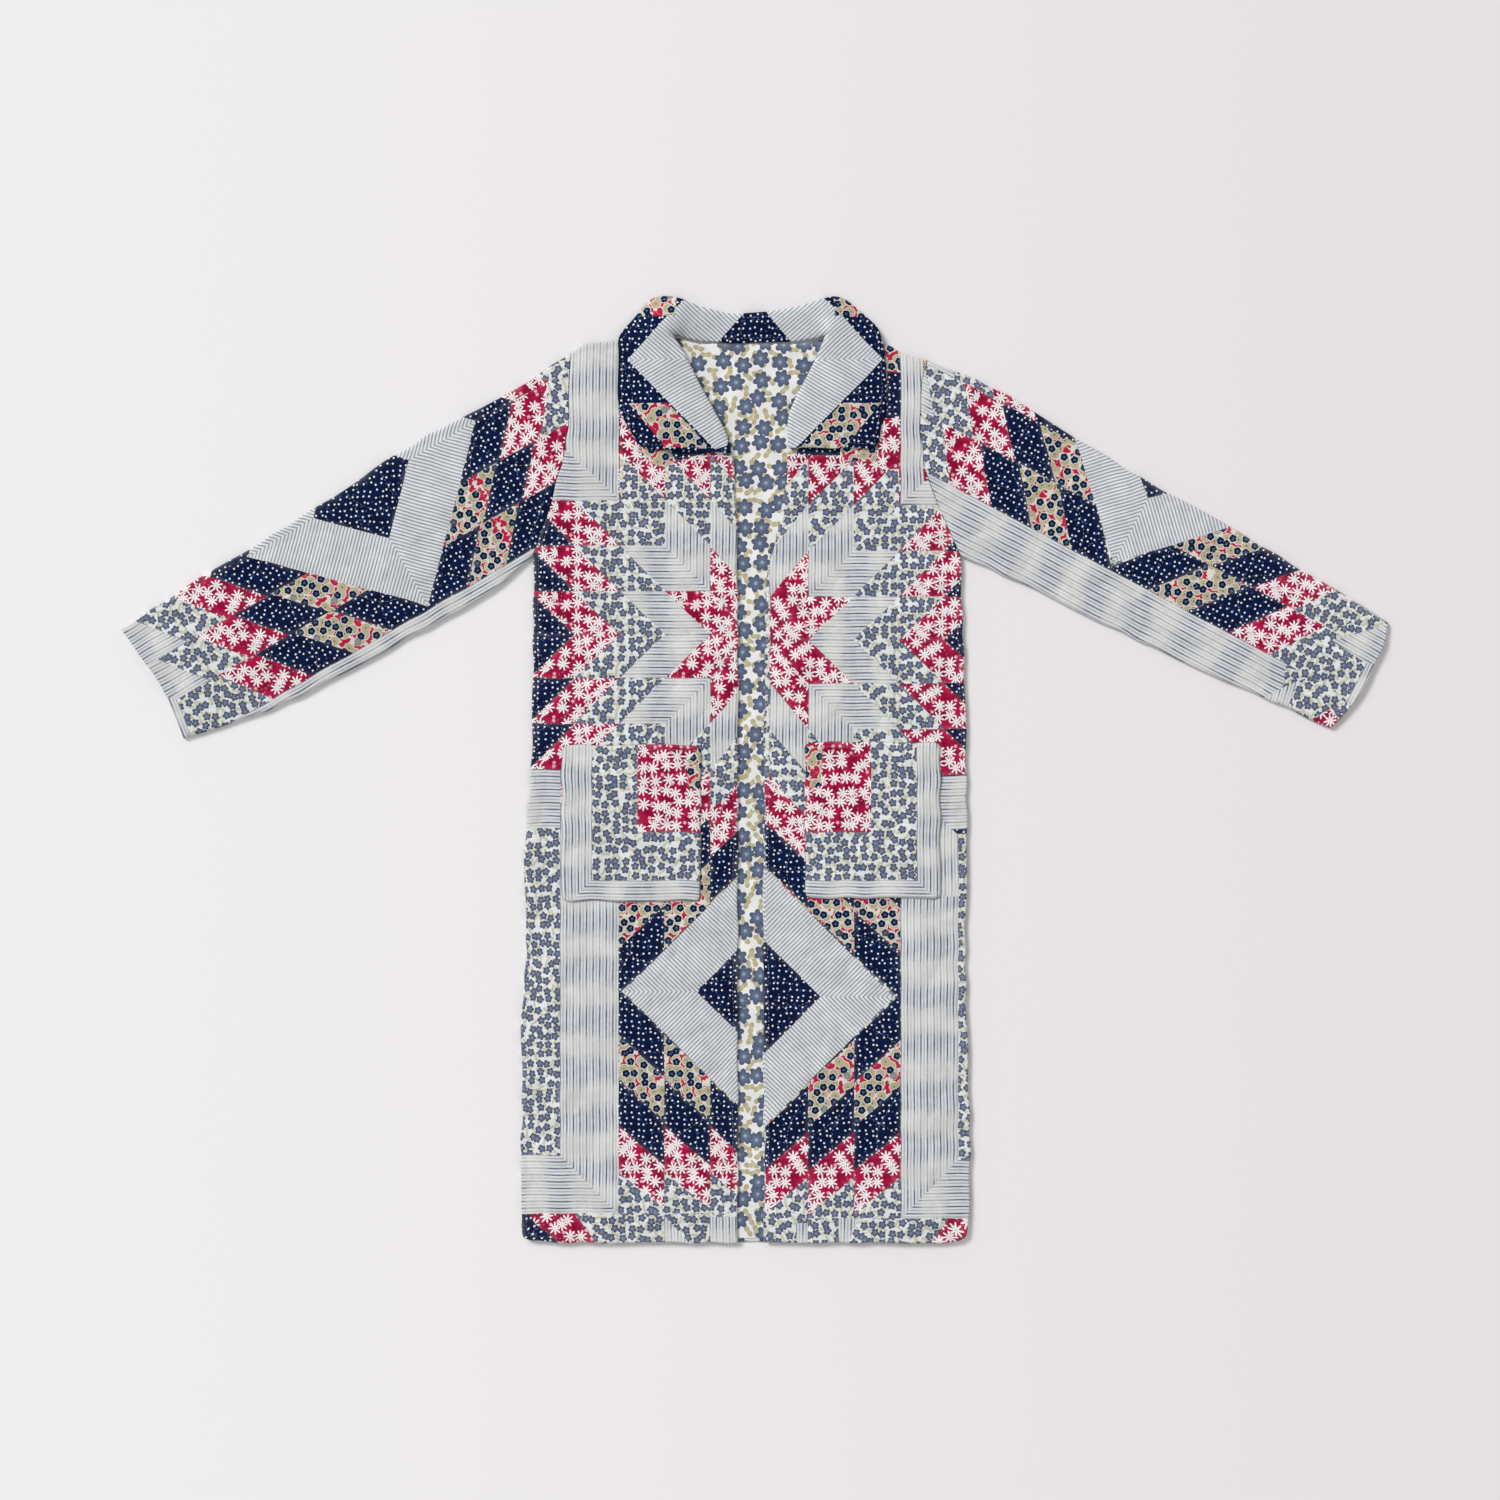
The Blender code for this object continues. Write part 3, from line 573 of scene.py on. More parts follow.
def quilted(points):
    """The pull of the quilting: a valley at each row, short puckers that run out of it, and soft rumples between."""
    total = np.zeros(len(points))
    x, y = points[:, 0], points[:, 1]
    across = (x + QUILT_BOW * np.sin(2 * np.pi * y / (3 * QUILT_ROW))) / QUILT_ROW
    along = (y + QUILT_BOW * np.sin(2 * np.pi * x / (3 * QUILT_ROW))) / QUILT_ROW
    for here, run in ((across, along), (along, across)):
        valley = np.abs(np.sin(np.pi * here))
        pucker = np.sin(run * 29.0 + 1.7 * np.sin(run * 5.3 + here)) * np.exp(-valley / 0.28)
        total -= QUILT_DEPTH * (1 - np.tanh(valley * 3.2)) - PUCKER * pucker
    bend = 1.3 * np.sin(x * 41.0 + 0.6) + 1.1 * np.sin(y * 53.0 + 2.0)
    total += RUMPLE * np.sin(x * 118.0 + y * 92.0 + 1.9 * bend) * np.sin(y * 71.0 - x * 63.0 + bend)
    return total


def quilting_rows(outline):
    """The rows of quilting that run over an outline, as lines in plan."""
    low, high = outline.min(axis=0), outline.max(axis=0)
    lines = []
    for axis in (0, 1):
        run = np.arange(low[1 - axis], high[1 - axis], 2 * MM)
        bow = QUILT_BOW * np.sin(2 * np.pi * run / (3 * QUILT_ROW))
        for k in range(int(low[axis] // QUILT_ROW), int(high[axis] // QUILT_ROW) + 2):
            line = np.empty((len(run), 2))
            line[:, axis], line[:, 1 - axis] = k * QUILT_ROW - bow, run
            lines.append(line)
    return lines


# Where an edge lies a little off the solid's, in mm: x, y, how far it is moved in x and y, and how far that reaches.
# Two hem corners turn more sharply, and the top of the right sleeve lies a little higher.
MOVES = (
    (-269.5, -554.0, -8.0, -7.5, 15.0),
    (247.0, -557.0, 6.5, -6.5, 15.0),
    (-305.0, 442.0, -1.0, 3.4, 60.0),
    (-375.0, 400.0, -1.0, 3.4, 60.0),
    (-445.0, 360.0, -1.0, 3.0, 60.0),
)
# How far the right side seam is drawn in, in mm: y, how far, and half how long
SIDE_TUCKS = ((-215.0, 7.0, 78.0), (-400.0, 4.5, 72.0), (-505.0, 3.5, 30.0))
SIDE_TUCK_REACH = 22 * MM  # how far in from the side seam
SIDE_TUCK_START, SIDE_TUCK_WHOLE = 236 * MM, 248 * MM  # from the middle line
WAVER = 0.9 * MM
WAVER_REACH = 16 * MM  # how far in from an edge it wavers


def wavered(points, from_rim):
    """The points in plan, moved as hand-sewn edges waver, less so further in, and drawn to how the coat lies."""
    x, y = points[:, 0], points[:, 1]
    moved = points[:, :2].copy()
    sway = WAVER * (0.25 + 0.75 * np.exp(-from_rim / WAVER_REACH))
    moved[:, 0] += sway * np.sin(y * 96.0 + 1.6 * np.sin(y * 31.0 + 1.0) + x * 9.0)
    moved[:, 1] += sway * np.sin(x * 88.0 + 1.7 * np.sin(x * 37.0 + 2.0) + y * 11.0)
    for middle_x, middle_y, by_x, by_y, reach in MOVES:
        away = np.hypot(x / MM - middle_x, y / MM - middle_y) / reach
        moved += np.exp(-away * away)[:, None] * np.array((by_x, by_y)) * MM
    outer = np.clip((-x - SIDE_TUCK_START) / (SIDE_TUCK_WHOLE - SIDE_TUCK_START), 0, 1)
    outer *= np.exp(-from_rim / SIDE_TUCK_REACH)
    for middle_y, tuck, half_length in SIDE_TUCKS:
        away = (y / MM - middle_y) / half_length
        moved[:, 0] += outer * tuck * MM * np.exp(-away * away)
    return moved


def creased(points, creases):
    """Soft ridges and troughs placed one by one, in mm: middle, angle, half length, half width, bend and height."""
    total = np.zeros(len(points))
    for x, y, angle, half_length, half_width, bend, rise in creases:
        away = points / MM - (x, y)
        turn = math.radians(angle)
        along = (away[:, 0] * math.cos(turn) + away[:, 1] * math.sin(turn)) / half_length
        across = (away[:, 1] * math.cos(turn) - away[:, 0] * math.sin(turn) - bend * along * along) / half_width
        total += rise * MM * np.exp(-(along**2) - across**2)
    return total


EDGE_WEAR_REACH = 3 * MM
SEAM_WEAR_REACH = 2 * MM
SEAM_WEAR = 0.6  # against the wear at an edge


def rounded(away, edge):
    """How far the face has risen from the middle of a rounded edge, from 0 to 1."""
    return np.sqrt(1 - (1 - np.clip(away / edge, 0, 1)) ** 2)


def cloth_piece(name, node, patches, below, creases=(), side=1, step=3.6 * MM, below_step=22 * MM,
                edge=QUILT_CLOTH / 2, seam_at=0.5, least=0.0, flat_below=None, open_over=None, hushed=(), rounds=30):
    """A piece of cloth on its CAD solid, cut into its patches, with its seams, quilting and creases.

    side is 1 where the patches face up and -1 where they face down; below are the patches of the other face, which
    gets no quilting or creases. edge is the radius of its rounded edge, and seam_at how far up its thickness the
    edge lies. least is its least height, and flat_below the height of its other face where that is flat. Where its
    outline lies over open_over it stays open. hushed are outlines in plan under which it isn't raised."""
    shape = seen_faces(node, side)
    outline = divided(outline_of(shape), step, closed=True)
    points, corners, owner, _ = cut(outline, patches, step, (0.35 * edge, edge), True)
    rim = rim_of(corners)
    face = np.maximum(evened(height_over(shape)(points), corners, rounds), least)
    if flat_below is None:
        other = evened(height_over(seen_faces(node, -side))(points), corners, rounds)
    else:
        other = np.full(len(points), flat_below)
    is_open = np.zeros(len(rim), bool)
    if open_over is not None:
        is_open = outline[nearest(points[rim], outline)[1], 2] > open_over
    shut = [
        point
        for k, end in enumerate(rim)
        if not (is_open[k] and is_open[k - 1])
        for point in divided((points[rim[k - 1]], points[end]), 0.5 * MM)
    ]
    away = nearest(points, shut)[0]
    calm = np.clip(away / (4 * edge), 0, 1)
    from_ditch = from_seam(points, corners, owner)
    relief = quilted(points) + creased(points, creases) - SEAM_DEPTH * np.exp(-from_ditch / SEAM_REACH)
    wear = np.maximum(np.exp(-away / EDGE_WEAR_REACH), SEAM_WEAR * np.exp(-from_ditch / SEAM_WEAR_REACH))
    for line in hushed:
        relief = np.where(within(points, line), np.minimum(relief, 0.0), relief)
    seam_height = other + (face - other) * seam_at
    height = seam_height + (face - seam_height) * rounded(away, edge) + side * relief * calm * calm * (3 - 2 * calm)
    if side < 0:
        height = np.maximum(height, 0.0)
    low_points, low_corners, low_owner, low_rim = cut(points[rim], below, below_step, (edge, 4 * edge), False)
    source = nearest(low_points, points)[1]
    low_away = nearest(low_points, shut)[0]
    low_height = seam_height[source] + (other - seam_height)[source] * rounded(low_away, edge)
    vertices = np.column_stack((points, height)).tolist()
    from_rim = nearest(points, points[rim])[0].tolist()
    twin = np.empty(len(low_points), int)
    on_rim = {index: k for k, index in enumerate(low_rim.tolist())}
    for k, (point, level) in enumerate(zip(low_points, low_height)):
        if k in on_rim and not is_open[on_rim[k]]:
            twin[k] = rim[on_rim[k]]
        else:
            twin[k] = len(vertices)
            vertices.append((*point, level))
            from_rim.append(0.0 if k in on_rim else low_away[k])
    corners = np.concatenate((corners[:, ::side], twin[low_corners][:, ::-side]))
    owner = np.concatenate((owner, low_owner + len(patches)))
    made = printed_mesh(name, np.array(vertices), corners, owner, [*patches, *below], np.array(from_rim), wear)
    return made, outline


def linked(name, data):
    """A new object with this data, in the scene."""
    made = bpy.data.objects.new(name, data)
    bpy.context.scene.collection.objects.link(made)
    return made


def printed_mesh(name, vertices, corners, owner, patches, from_rim, wear=()):
    """The object of a piece of cloth, with each patch's fabric, its print laid along its threads, and its wear."""
    mesh = bpy.data.meshes.new(name)
    sewn_up = np.column_stack((wavered(vertices, from_rim), vertices[:, 2]))
    mesh.from_pydata(sewn_up.tolist(), [], corners.tolist())
    worn = mesh.attributes.new("wear", "FLOAT", "POINT")
    worn.data.foreach_set("value", np.concatenate((wear, np.zeros(len(vertices) - len(wear)))).astype(np.float32))
    fabrics = list(dict.fromkeys(row[0] for row in patches))
    for fabric in fabrics:
        mesh.materials.append(COTTONS[fabric])
    index = np.array([fabrics.index(row[0]) for row in patches])
    mesh.polygons.foreach_set("material_index", index[owner].astype(np.int32))
    turns = np.radians([row[2] for row in patches])[owner][:, None]
    away = vertices[corners][:, :, :2] - np.array([row[1][0] for row in patches])[owner][:, None]
    along = away[:, :, 0] * np.cos(turns) + away[:, :, 1] * np.sin(turns)
    across = away[:, :, 1] * np.cos(turns) - away[:, :, 0] * np.sin(turns)
    layer = mesh.uv_layers.new(name="print")
    layer.data.foreach_set("uv", np.stack((along, across), axis=2).astype(np.float32).ravel())
    mesh.shade_smooth()
    return linked(name, mesh)


def make_running_stitch():
    """Hand stitches in a row: one short thread at each pitch along a seam line, sunk half into the cloth."""
    tree = bpy.data.node_groups.new("running stitch", "GeometryNodeTree")
    tree.interface.new_socket("Seam", in_out="INPUT", socket_type="NodeSocketGeometry")
    for socket, default in (("Pitch", 4.8 * MM), ("Length", 3.2 * MM), ("Thickness", 0.42 * MM)):
        tree.interface.new_socket(socket, in_out="INPUT", socket_type="NodeSocketFloat").default_value = default
    tree.interface.new_socket("Thread", in_out="INPUT", socket_type="NodeSocketMaterial")
    tree.interface.new_socket("Stitches", in_out="OUTPUT", socket_type="NodeSocketGeometry")
    start = tree.nodes.new("NodeGroupInput")
    given = {socket.name: Signal(tree, socket) for socket in start.outputs if socket.name}
    half_length, half_thickness = given["Length"] * 0.5, given["Thickness"] * 0.5
    size = wired(tree, "ShaderNodeCombineXYZ", ["Vector"], X=half_length, Y=half_thickness, Z=half_thickness)
    uneven = wired(
        tree, "FunctionNodeRandomValue", ["Value"], {"data_type": "FLOAT_VECTOR"}, Min=(0.75, 0.9, 0.9),
        Max=(1.15, 1.1, 1.1), Seed=7,
    )
    scale = wired(tree, "ShaderNodeVectorMath", ["Vector"], {"operation": "MULTIPLY"})
    feed(tree, scale.socket.node.inputs[0], size)
    feed(tree, scale.socket.node.inputs[1], uneven)
    thread = wired(tree, "GeometryNodeMeshIcoSphere", ["Mesh"], Radius=1.0, Subdivisions=1)
    line = wired(tree, "GeometryNodeMeshToCurve", ["Curve"], Mesh=given["Seam"])
    points, tangent = wired(
        tree, "GeometryNodeCurveToPoints", ["Points", "Tangent"], {"mode": "LENGTH"}, Curve=line,
        Length=given["Pitch"],
    )
    turned = wired(tree, "FunctionNodeAlignRotationToVector", ["Rotation"], {"axis": "X"}, Vector=tangent)
    stitches = wired(
        tree, "GeometryNodeInstanceOnPoints", ["Instances"], Points=points, Instance=thread, Rotation=turned,
        Scale=scale,
    )
    real = wired(tree, "GeometryNodeRealizeInstances", ["Geometry"], Geometry=stitches)
    dressed = wired(tree, "GeometryNodeSetMaterial", ["Geometry"], Geometry=real, Material=given["Thread"])
    put_out(tree, Stitches=dressed)
    return tree


def make_thread():
    """Pale twisted cotton thread."""
    made, tree, shader = new_paint("quilting thread")
    spot = wired(tree, "ShaderNodeTexCoord", ["Object"])
    fibre = noise(tree, spot, 2500.0)
    tone = noise(tree, spot, 20.0)
    feed(tree, shader.inputs["Base Color"], mixed(tree, tone, dyed(172, 178, 190), dyed(208, 208, 206)))
    feed(tree, shader.inputs["Roughness"], fibre * 0.2 + 0.7)
    normal = wired(tree, "ShaderNodeBump", ["Normal"], Strength=0.4, Distance=0.05 * MM, Height=fibre)
    feed(tree, shader.inputs["Normal"], normal)
    return made


running_stitch = make_running_stitch()
thread_paint = make_thread()


def applied(piece, name):
    """The mesh that an object's modifiers make, under this name. The object itself is removed."""
    mesh = bpy.data.meshes.new_from_object(piece.evaluated_get(bpy.context.evaluated_depsgraph_get()))
    mesh.name = name
    bpy.data.objects.remove(piece)
    return mesh


def sewn(name, cloth, lines, outline, margin=8 * MM, side=1, hidden=()):
    """Rows of stitches along lines in plan, on the face of a finished piece that looks up, side 1, or down, -1. They
    keep a margin from its edge, and leave out what lies under the hidden outlines."""
    shape = bmesh.new()
    shape.from_mesh(cloth.data)
    surface = BVHTree.FromBMesh(shape)
    shape.free()
    edge = divided(outline, 2 * MM, closed=True)[:, :2]
    vertices, seams = [], []
    for line in lines:
        from_rim = nearest(line, edge)[0]
        shown = within(line, edge) & (from_rim > margin)
        line = wavered(line, from_rim)
        for cover in hidden:
            shown &= ~within(line, cover)
        before = False
        for (x, y), is_shown in zip(line, shown):
            spot = surface.ray_cast((x, y, side), (0.0, 0.0, -side))[0] if is_shown else None
            if spot is None:
                before = False
                continue
            vertices.append(tuple(spot))
            if before:
                seams.append((len(vertices) - 2, len(vertices) - 1))
            before = True
    mesh = bpy.data.meshes.new(name + "_line")
    mesh.from_pydata(vertices, seams, [])
    seam = linked(name + "_line", mesh)
    modifier = seam.modifiers.new("stitches", "NODES")
    modifier.node_group = running_stitch
    sockets = {row.name: row.identifier for row in running_stitch.interface.items_tree if row.in_out == "INPUT"}
    modifier[sockets["Thread"]] = thread_paint
    made = linked(name, applied(seam, name))
    made.data.shade_smooth()
    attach(made, "root")
    return made


def edge_rows(outline, inset, above=-1.0):
    """The lines that keep this far inside an outline, where it lies above a height."""
    line = divided(outline, 2 * MM, closed=True)
    row = line[:, :2] + inward(line) * inset
    high = line[:, 2] > above
    breaks = np.flatnonzero(high[1:] != high[:-1]) + 1
    return [part for part, kept in zip(np.split(row, breaks), np.split(high, breaks)) if kept[0]]


EDGE_ROW = 6 * MM  # from an edge to its row of topstitching


def laid(piece, node):
    """Hangs a piece of cloth on the root body and hides the solid it stands for."""
    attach(piece, "root")
    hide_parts(node)


STITCH_MARGIN = 5 * MM  # how near to an edge the stitches run


def sewn_and_laid(piece, node, outline, side=1, hidden=()):
    """Sews a flat piece along its quilting and its edge, and lays it down."""
    rows = [*quilting_rows(outline[:, :2]), *edge_rows(outline, EDGE_ROW)]
    sewing = sewn(node + "_stitches", piece, rows, outline, margin=STITCH_MARGIN, side=side, hidden=hidden)
    laid(piece, node)


STAR_RINGS = ("daisies", "ikat", "meadow", "daisies", "dots", "posies", "meadow")
STAR_POINT_ACROSS = 38.6  # the first ring's half width and half height, in steps
STAR_POINT_UP = 43.3
UNIT_ACROSS = 45.2


def star(middle_x, middle_y, toward):
    """One half of the eight-pointed star: rings of patches with their ends cut at half a right angle, out to the
    side and up and down. toward is -1 for the half towards the photograph's left."""
    out = [0.0] + [STAR_POINT_ACROSS + UNIT_ACROSS * k for k in range(len(STAR_RINGS) + 1)]
    up = [0.0] + [STAR_POINT_UP + UNIT * k for k in range(len(STAR_RINGS) + 1)]
    patches = []
    for down in (-1, 1):
        for row in range(len(STAR_RINGS)):
            for ring in range(row, len(STAR_RINGS) - 1):
                sideways = ((ring, row), (ring + 1, row), (ring + 2, row + 1), (ring + 1, row + 1))
                for pairs, grain in ((sideways, 0.0), ([(b, a) for a, b in sideways], 90.0)):
                    corners = [(middle_x + toward * out[a], middle_y + down * up[b]) for a, b in pairs]
                    patches.append(patch(STAR_RINGS[ring], *corners, grain=grain))
    return patches


BAND_FABRICS = ("dots", "posies", "dots", "daisies", "meadow", "ikat", "daisies")
# Where the bands end on the outer and the inner side of a row, in steps
BAND_OUTER = (-2.7, 43.0, 88.3, 134.0, 180.5, 226.0, 271.0, 317.0)
BAND_INNER = (41.0, 86.0, 130.0, 174.0, 216.5, 261.0, 306.0, 351.0)
DIAMOND = 128.3  # half the diagonal of the striped square, in steps
DIAMOND_HEART = 55.5


def medallion(middle, along, rows, sides=(1,), bands=(4, 4), half=DIAMOND):
    """A striped square on its point with a navy heart, between stepped bands of patches. along is the bands' unit
    direction and rows are the seams between them, across it. sides are the sides of the middle line they lie on, and
    bands how many there are ahead and behind. half is half the square's diagonal."""
    middle, along = np.array(middle), np.array(along)
    across = np.array((-along[1], along[0]))
    angle = -math.degrees(math.atan2(along[1], along[0]))

    def spot(a, b):
        return middle + along * a + across * b

    patches = []
    for side in sides:
        for way, count in zip((1, -1), bands):
            for near, far in zip(rows, rows[1:]):
                for k, fabric in enumerate(BAND_FABRICS[:count]):
                    first = ((BAND_OUTER[k], far), (BAND_INNER[k], near))
                    second = ((BAND_INNER[k + 1], near), (BAND_OUTER[k + 1], far))
                    spots = [spot(way * a, side * b) for a, b in first + second]
                    patches.append(patch(fabric, *spots, grain=angle))
    for a, b in ((1, 1), (-1, 1), (-1, -1), (1, -1)):
        tips = (spot(0, 0), spot(a * half, 0), spot(0, b * half))
        patches.append(patch("pinstripe", *tips, grain=angle - a * b * 45.0))
    heart = [spot(a * DIAMOND_HEART, b * DIAMOND_HEART) for a, b in ((1, 0), (0, 1), (-1, 0), (0, -1))]
    return patches + [patch("dots", *heart)]


ALL_OVER = (0.0, 0.0, 1500.0, 1500.0)
back_patches = [
    patch_box("meadow", *ALL_OVER),
    *star(754.8, 636.0, -1),
    *star(754.8, 636.0, 1),
    *[patch_box("ikat", x, 769.8, x + 58.3, 1212.4, grain=90.0) for x in (560.4, 900.0)],
    patch_box("meadow", 618.7, 900, 900, 1212.4),
    *medallion((758.5, 994.0), (0.0, 1.0), (0.0, 45.5, 91.0, 136.5), sides=(1, -1)),
]
back_creases = (
    # middle x, y, angle, half length, half width, bend, height, toward the surface, which flattens most of it
    (-150, 330, 80, 70, 8, 6, 0.6),
    (120, 250, 100, 90, 9, -7, 0.7),
    (30, 60, 12, 80, 8, 5, 0.5),
    (-190, -140, 95, 80, 8, 6, 0.7),
    (170, -260, 84, 100, 9, -8, 0.8),
    (-60, -430, 100, 70, 7, 5, 0.5),
)
lining_patches = [patch_box("lining", *ALL_OVER)]
back, back_outline = cloth_piece(
    "back_cloth", "back", back_patches, lining_patches, back_creases, side=-1, step=6 * MM
)
sewn_and_laid(back, "back", back_outline, side=-1)

# The lining of the back in the open front
# A strip of soft plain-weave cotton with large flowers, the back's lining, which shows inside the neck and
# between the front edges. It lies on the back.

LINING_CLOTH = 1.0 * MM
back_lining, _ = cloth_piece(
    "back_lining_cloth", "back_lining", lining_patches, lining_patches, edge=LINING_CLOTH / 2, rounds=5
)
laid(back_lining, "back_lining")

# The two fronts
# Each front is one quilted panel pieced from seven printed cottons: half of a star on the chest, a striped square on
# its point below it, and a border of stripes and flowers down the side and round the hem.

front_creases = {
    "right": (
        # middle x, y, angle, half length, half width, bend, height
        (-228, 214, -40, 40, 5, 6, 0.9),
        (-214, 186, -30, 34, 5, -5, -0.6),
        (-150, 330, 96, 44, 6, 4, 0.5),
        (-262, -60, 84, 60, 6, 5, 0.7),
        (-240, -330, 95, 90, 8, -8, 0.8),
        (-120, -470, 86, 70, 7, 6, 0.6),
        (-84, -222, 84, 62, 5, 5, 0.8),
        (-40, -196, 96, 40, 4, -4, -0.7),
        (-213, -306, 48, 22, 5, 4, 1.0),
        (-232, -402, 60, 26, 5, -4, 0.9),
        (-70, -360, 100, 50, 6, 5, 0.7),
    ),
    "left": (
        (214, 214, 42, 42, 5, -6, 0.9),
        (196, 182, 34, 30, 5, 5, -0.6),
        (150, 320, 84, 46, 6, -4, 0.5),
        (240, -70, 95, 64, 6, -5, 0.7),
        (214, -300, 86, 80, 8, 7, 0.8),
        (110, -480, 94, 60, 7, -6, 0.6),
        (60, -178, 104, 48, 5, 5, 0.8),
        (24, -150, 88, 44, 4, -4, -0.7),
        (192, -382, 134, 24, 5, 4, 1.0),
        (214, -470, 70, 30, 5, -4, 0.9),
        (90, -330, 80, 46, 6, 5, 0.7),
    ),
}

front_patches = {
    "right": [
        patch_box("meadow", *ALL_OVER),
        *star(749.0, 634.8, -1),
        patch_box("ikat", 567, 330, 618.9, 499, grain=90),
        patch("ikat", (567, 451), (550, 440), (550, 501), (618.9, 501), (618.9, 499)),
        patch("posies", (636, 447), (678, 447), (676, 461), (664, 468), (650, 463)),
        patch("dots", (664, 440), (716, 440), (715, 451), (676, 462)),
        patch_box("ikat", 500, 769.8, 561, 827.8),
        patch_box("meadow", 500, 827.8, 560.4, 1154.4),
        patch_box("ikat", 560.4, 820, 618.7, 1212.4, grain=90),
        patch_box("meadow", 618.7, 900, 770, 1212.4),
        *medallion((752.0, 991.0), (0.0, 1.0), (0.0, 41.7, 87.5, 133.2)),
        patch("ikat", (560.4, 1154.4), (500, 1154.4), (500, 1212.4), (618.7, 1212.4)),
        patch_box("meadow", 500, 1212.4, 770, 1260),
        patch("dots", (500, 1212.4), (529.6, 1212.4), (556, 1239.5), (556, 1260), (500, 1260)),
        patch("daisies", (529.6, 1212.4), (575, 1212.4), (594, 1239.5), (594, 1250), (556, 1239.5)),
        patch("ikat", (664.6, 1215), (664.6, 1250), (697, 1250), grain=90),
        patch_box("ikat", 710, 1216, 770, 1260, grain=90),
    ],
    "left": [
        patch_box("meadow", *ALL_OVER),
        *star(769.7, 640.2, 1),
        patch_box("ikat", 900.3, 330, 923.3, 506, grain=90),
        patch("ikat", (900.3, 505), (923.3, 482), (945, 481), (945, 506), (900.3, 506)),
        patch_box("posies", 886, 340, 900.3, 382),
        patch_box("dots", 887, 373, 900.3, 417),
        patch_box("daisies", 878, 419, 900.3, 470),
        patch_box("dots", 797, 440, 840, 456),
        patch_box("posies", 842, 440, 877, 462),
        patch_box("ikat", 937.5, 776, 990, 829),
        patch("ikat", (938, 815), (990, 867), (990, 834), (958, 834), (958, 900), (938, 900), grain=90),
        patch_box("meadow", 958, 834, 990, 1159.8),
        patch_box("ikat", 900.6, 896, 958, 1217.2, grain=90),
        patch_box("meadow", 760, 896, 900.6, 1217.2),
        *medallion((765.0, 996.4), (0.0, 1.0), (0.0, 43.0, 89.0, 135.3), sides=(-1,)),
        patch("ikat", (958, 1159.8), (990, 1159.8), (990, 1217.2), (900.6, 1217.2)),
        patch_box("meadow", 760, 1217.2, 990, 1260),
        patch_box("ikat", 796.6, 1222, 808, 1260, grain=90),
        patch("ikat", (838, 1217.2), (858, 1217.2), (846, 1250), (841, 1260), grain=90),
        patch("daisies", (947, 1217.2), (990, 1217.2), (990, 1260), (920, 1260)),
    ],
}

# Where the pockets lie on the fronts, in mm: left, right, bottom and top
POCKET_PLACES = {"right": (-231.3, -64.5, -159.0, 28.2), "left": (60.3, 222.3, -155.4, 31.8)}
pocket_outlines = {
    hand: np.array(((x0, y0), (x1, y0), (x1, y1), (x0, y1))) * MM for hand, (x0, x1, y0, y1) in POCKET_PLACES.items()
}
collar_cover = np.array((place(610, 280), place(610, 452), place(716, 456), place(760, 380),
                         place(800, 456), place(905, 452), place(905, 280)))
for hand in ("right", "left"):
    node = "front_" + hand
    covers = (pocket_outlines[hand], collar_cover)
    front, outline = cloth_piece(
        node + "_cloth", node, front_patches[hand], lining_patches, front_creases[hand], hushed=covers,
    )
    sewn_and_laid(front, node, outline, hidden=covers)

# The two patch pockets
# Square pockets of the same quilted cotton, pieced to match a corner of a block, turned in all round and stitched to
# the fronts along three sides. The top is open and hemmed.

POCKET_EDGE = 4 * MM  # the radius of the turned edge
POCKET_SEAM_AT = 0.2  # how far up the cloth's thickness its edge lies
pocket_patches = {
    "right": [
        patch_box("meadow", *ALL_OVER),
        patch_box("daisies", 637.8, 700, 720, 832),
        patch("posies", (686, 762), (704, 742), (704, 788), (690, 788)),
        patch("ikat", (592.3, 880), (592.3, 700), (540, 700), (540, 932), grain=90),
        patch("ikat", (592.3, 880), (540, 932), (720, 932), (720, 880)),
    ],
    "left": [
        patch_box("meadow", *ALL_OVER),
        patch_box("daisies", 790, 700, 870.8, 832),
        patch("posies", (790, 746), (823, 746), (820, 786), (790, 786)),
        patch("ikat", (916.5, 880), (916.5, 700), (960, 700), (960, 920), grain=90),
        patch("ikat", (916.5, 880), (960, 920), (780, 920), (780, 880)),
    ],
}
pocket_creases = {
    # middle x, y, angle, half length, half width, bend, height
    "right": ((-190, -40, 70, 34, 6, 5, 0.5), (-110, -110, 20, 40, 6, -4, 0.4), (-100, -10, -12, 34, 5, 3, 0.4)),
    "left": ((180, -50, 104, 36, 6, -5, 0.5), (112, -100, -24, 36, 6, 4, 0.4), (120, 0, 10, 32, 5, -3, 0.4)),
}
for hand in ("right", "left"):
    node = "pocket_" + hand
    pocket, outline = cloth_piece(
        node + "_cloth", node, pocket_patches[hand], lining_patches, pocket_creases[hand], edge=POCKET_EDGE,
        seam_at=POCKET_SEAM_AT,
    )
    sewn_and_laid(pocket, node, outline)

# The two sleeves
# Each is a straight quilted sleeve with its seam under the arm, pieced round a striped square on its point, pressed
# flat. It is sewn into the armhole and ends in a plain open cuff.

FOLD_ROUND = 3.15 * MM
sleeve_along = {"right": (-0.867, 0.498), "left": (0.883, 0.47)}
sleeve_middle = {"right": (362.5, 491.0), "left": (1173.0, 450.0)}
sleeve_rows = {"right": (0.0, 44.3, 89.0, 136.0), "left": (0.0, 39.5, 84.8, 136.0)}


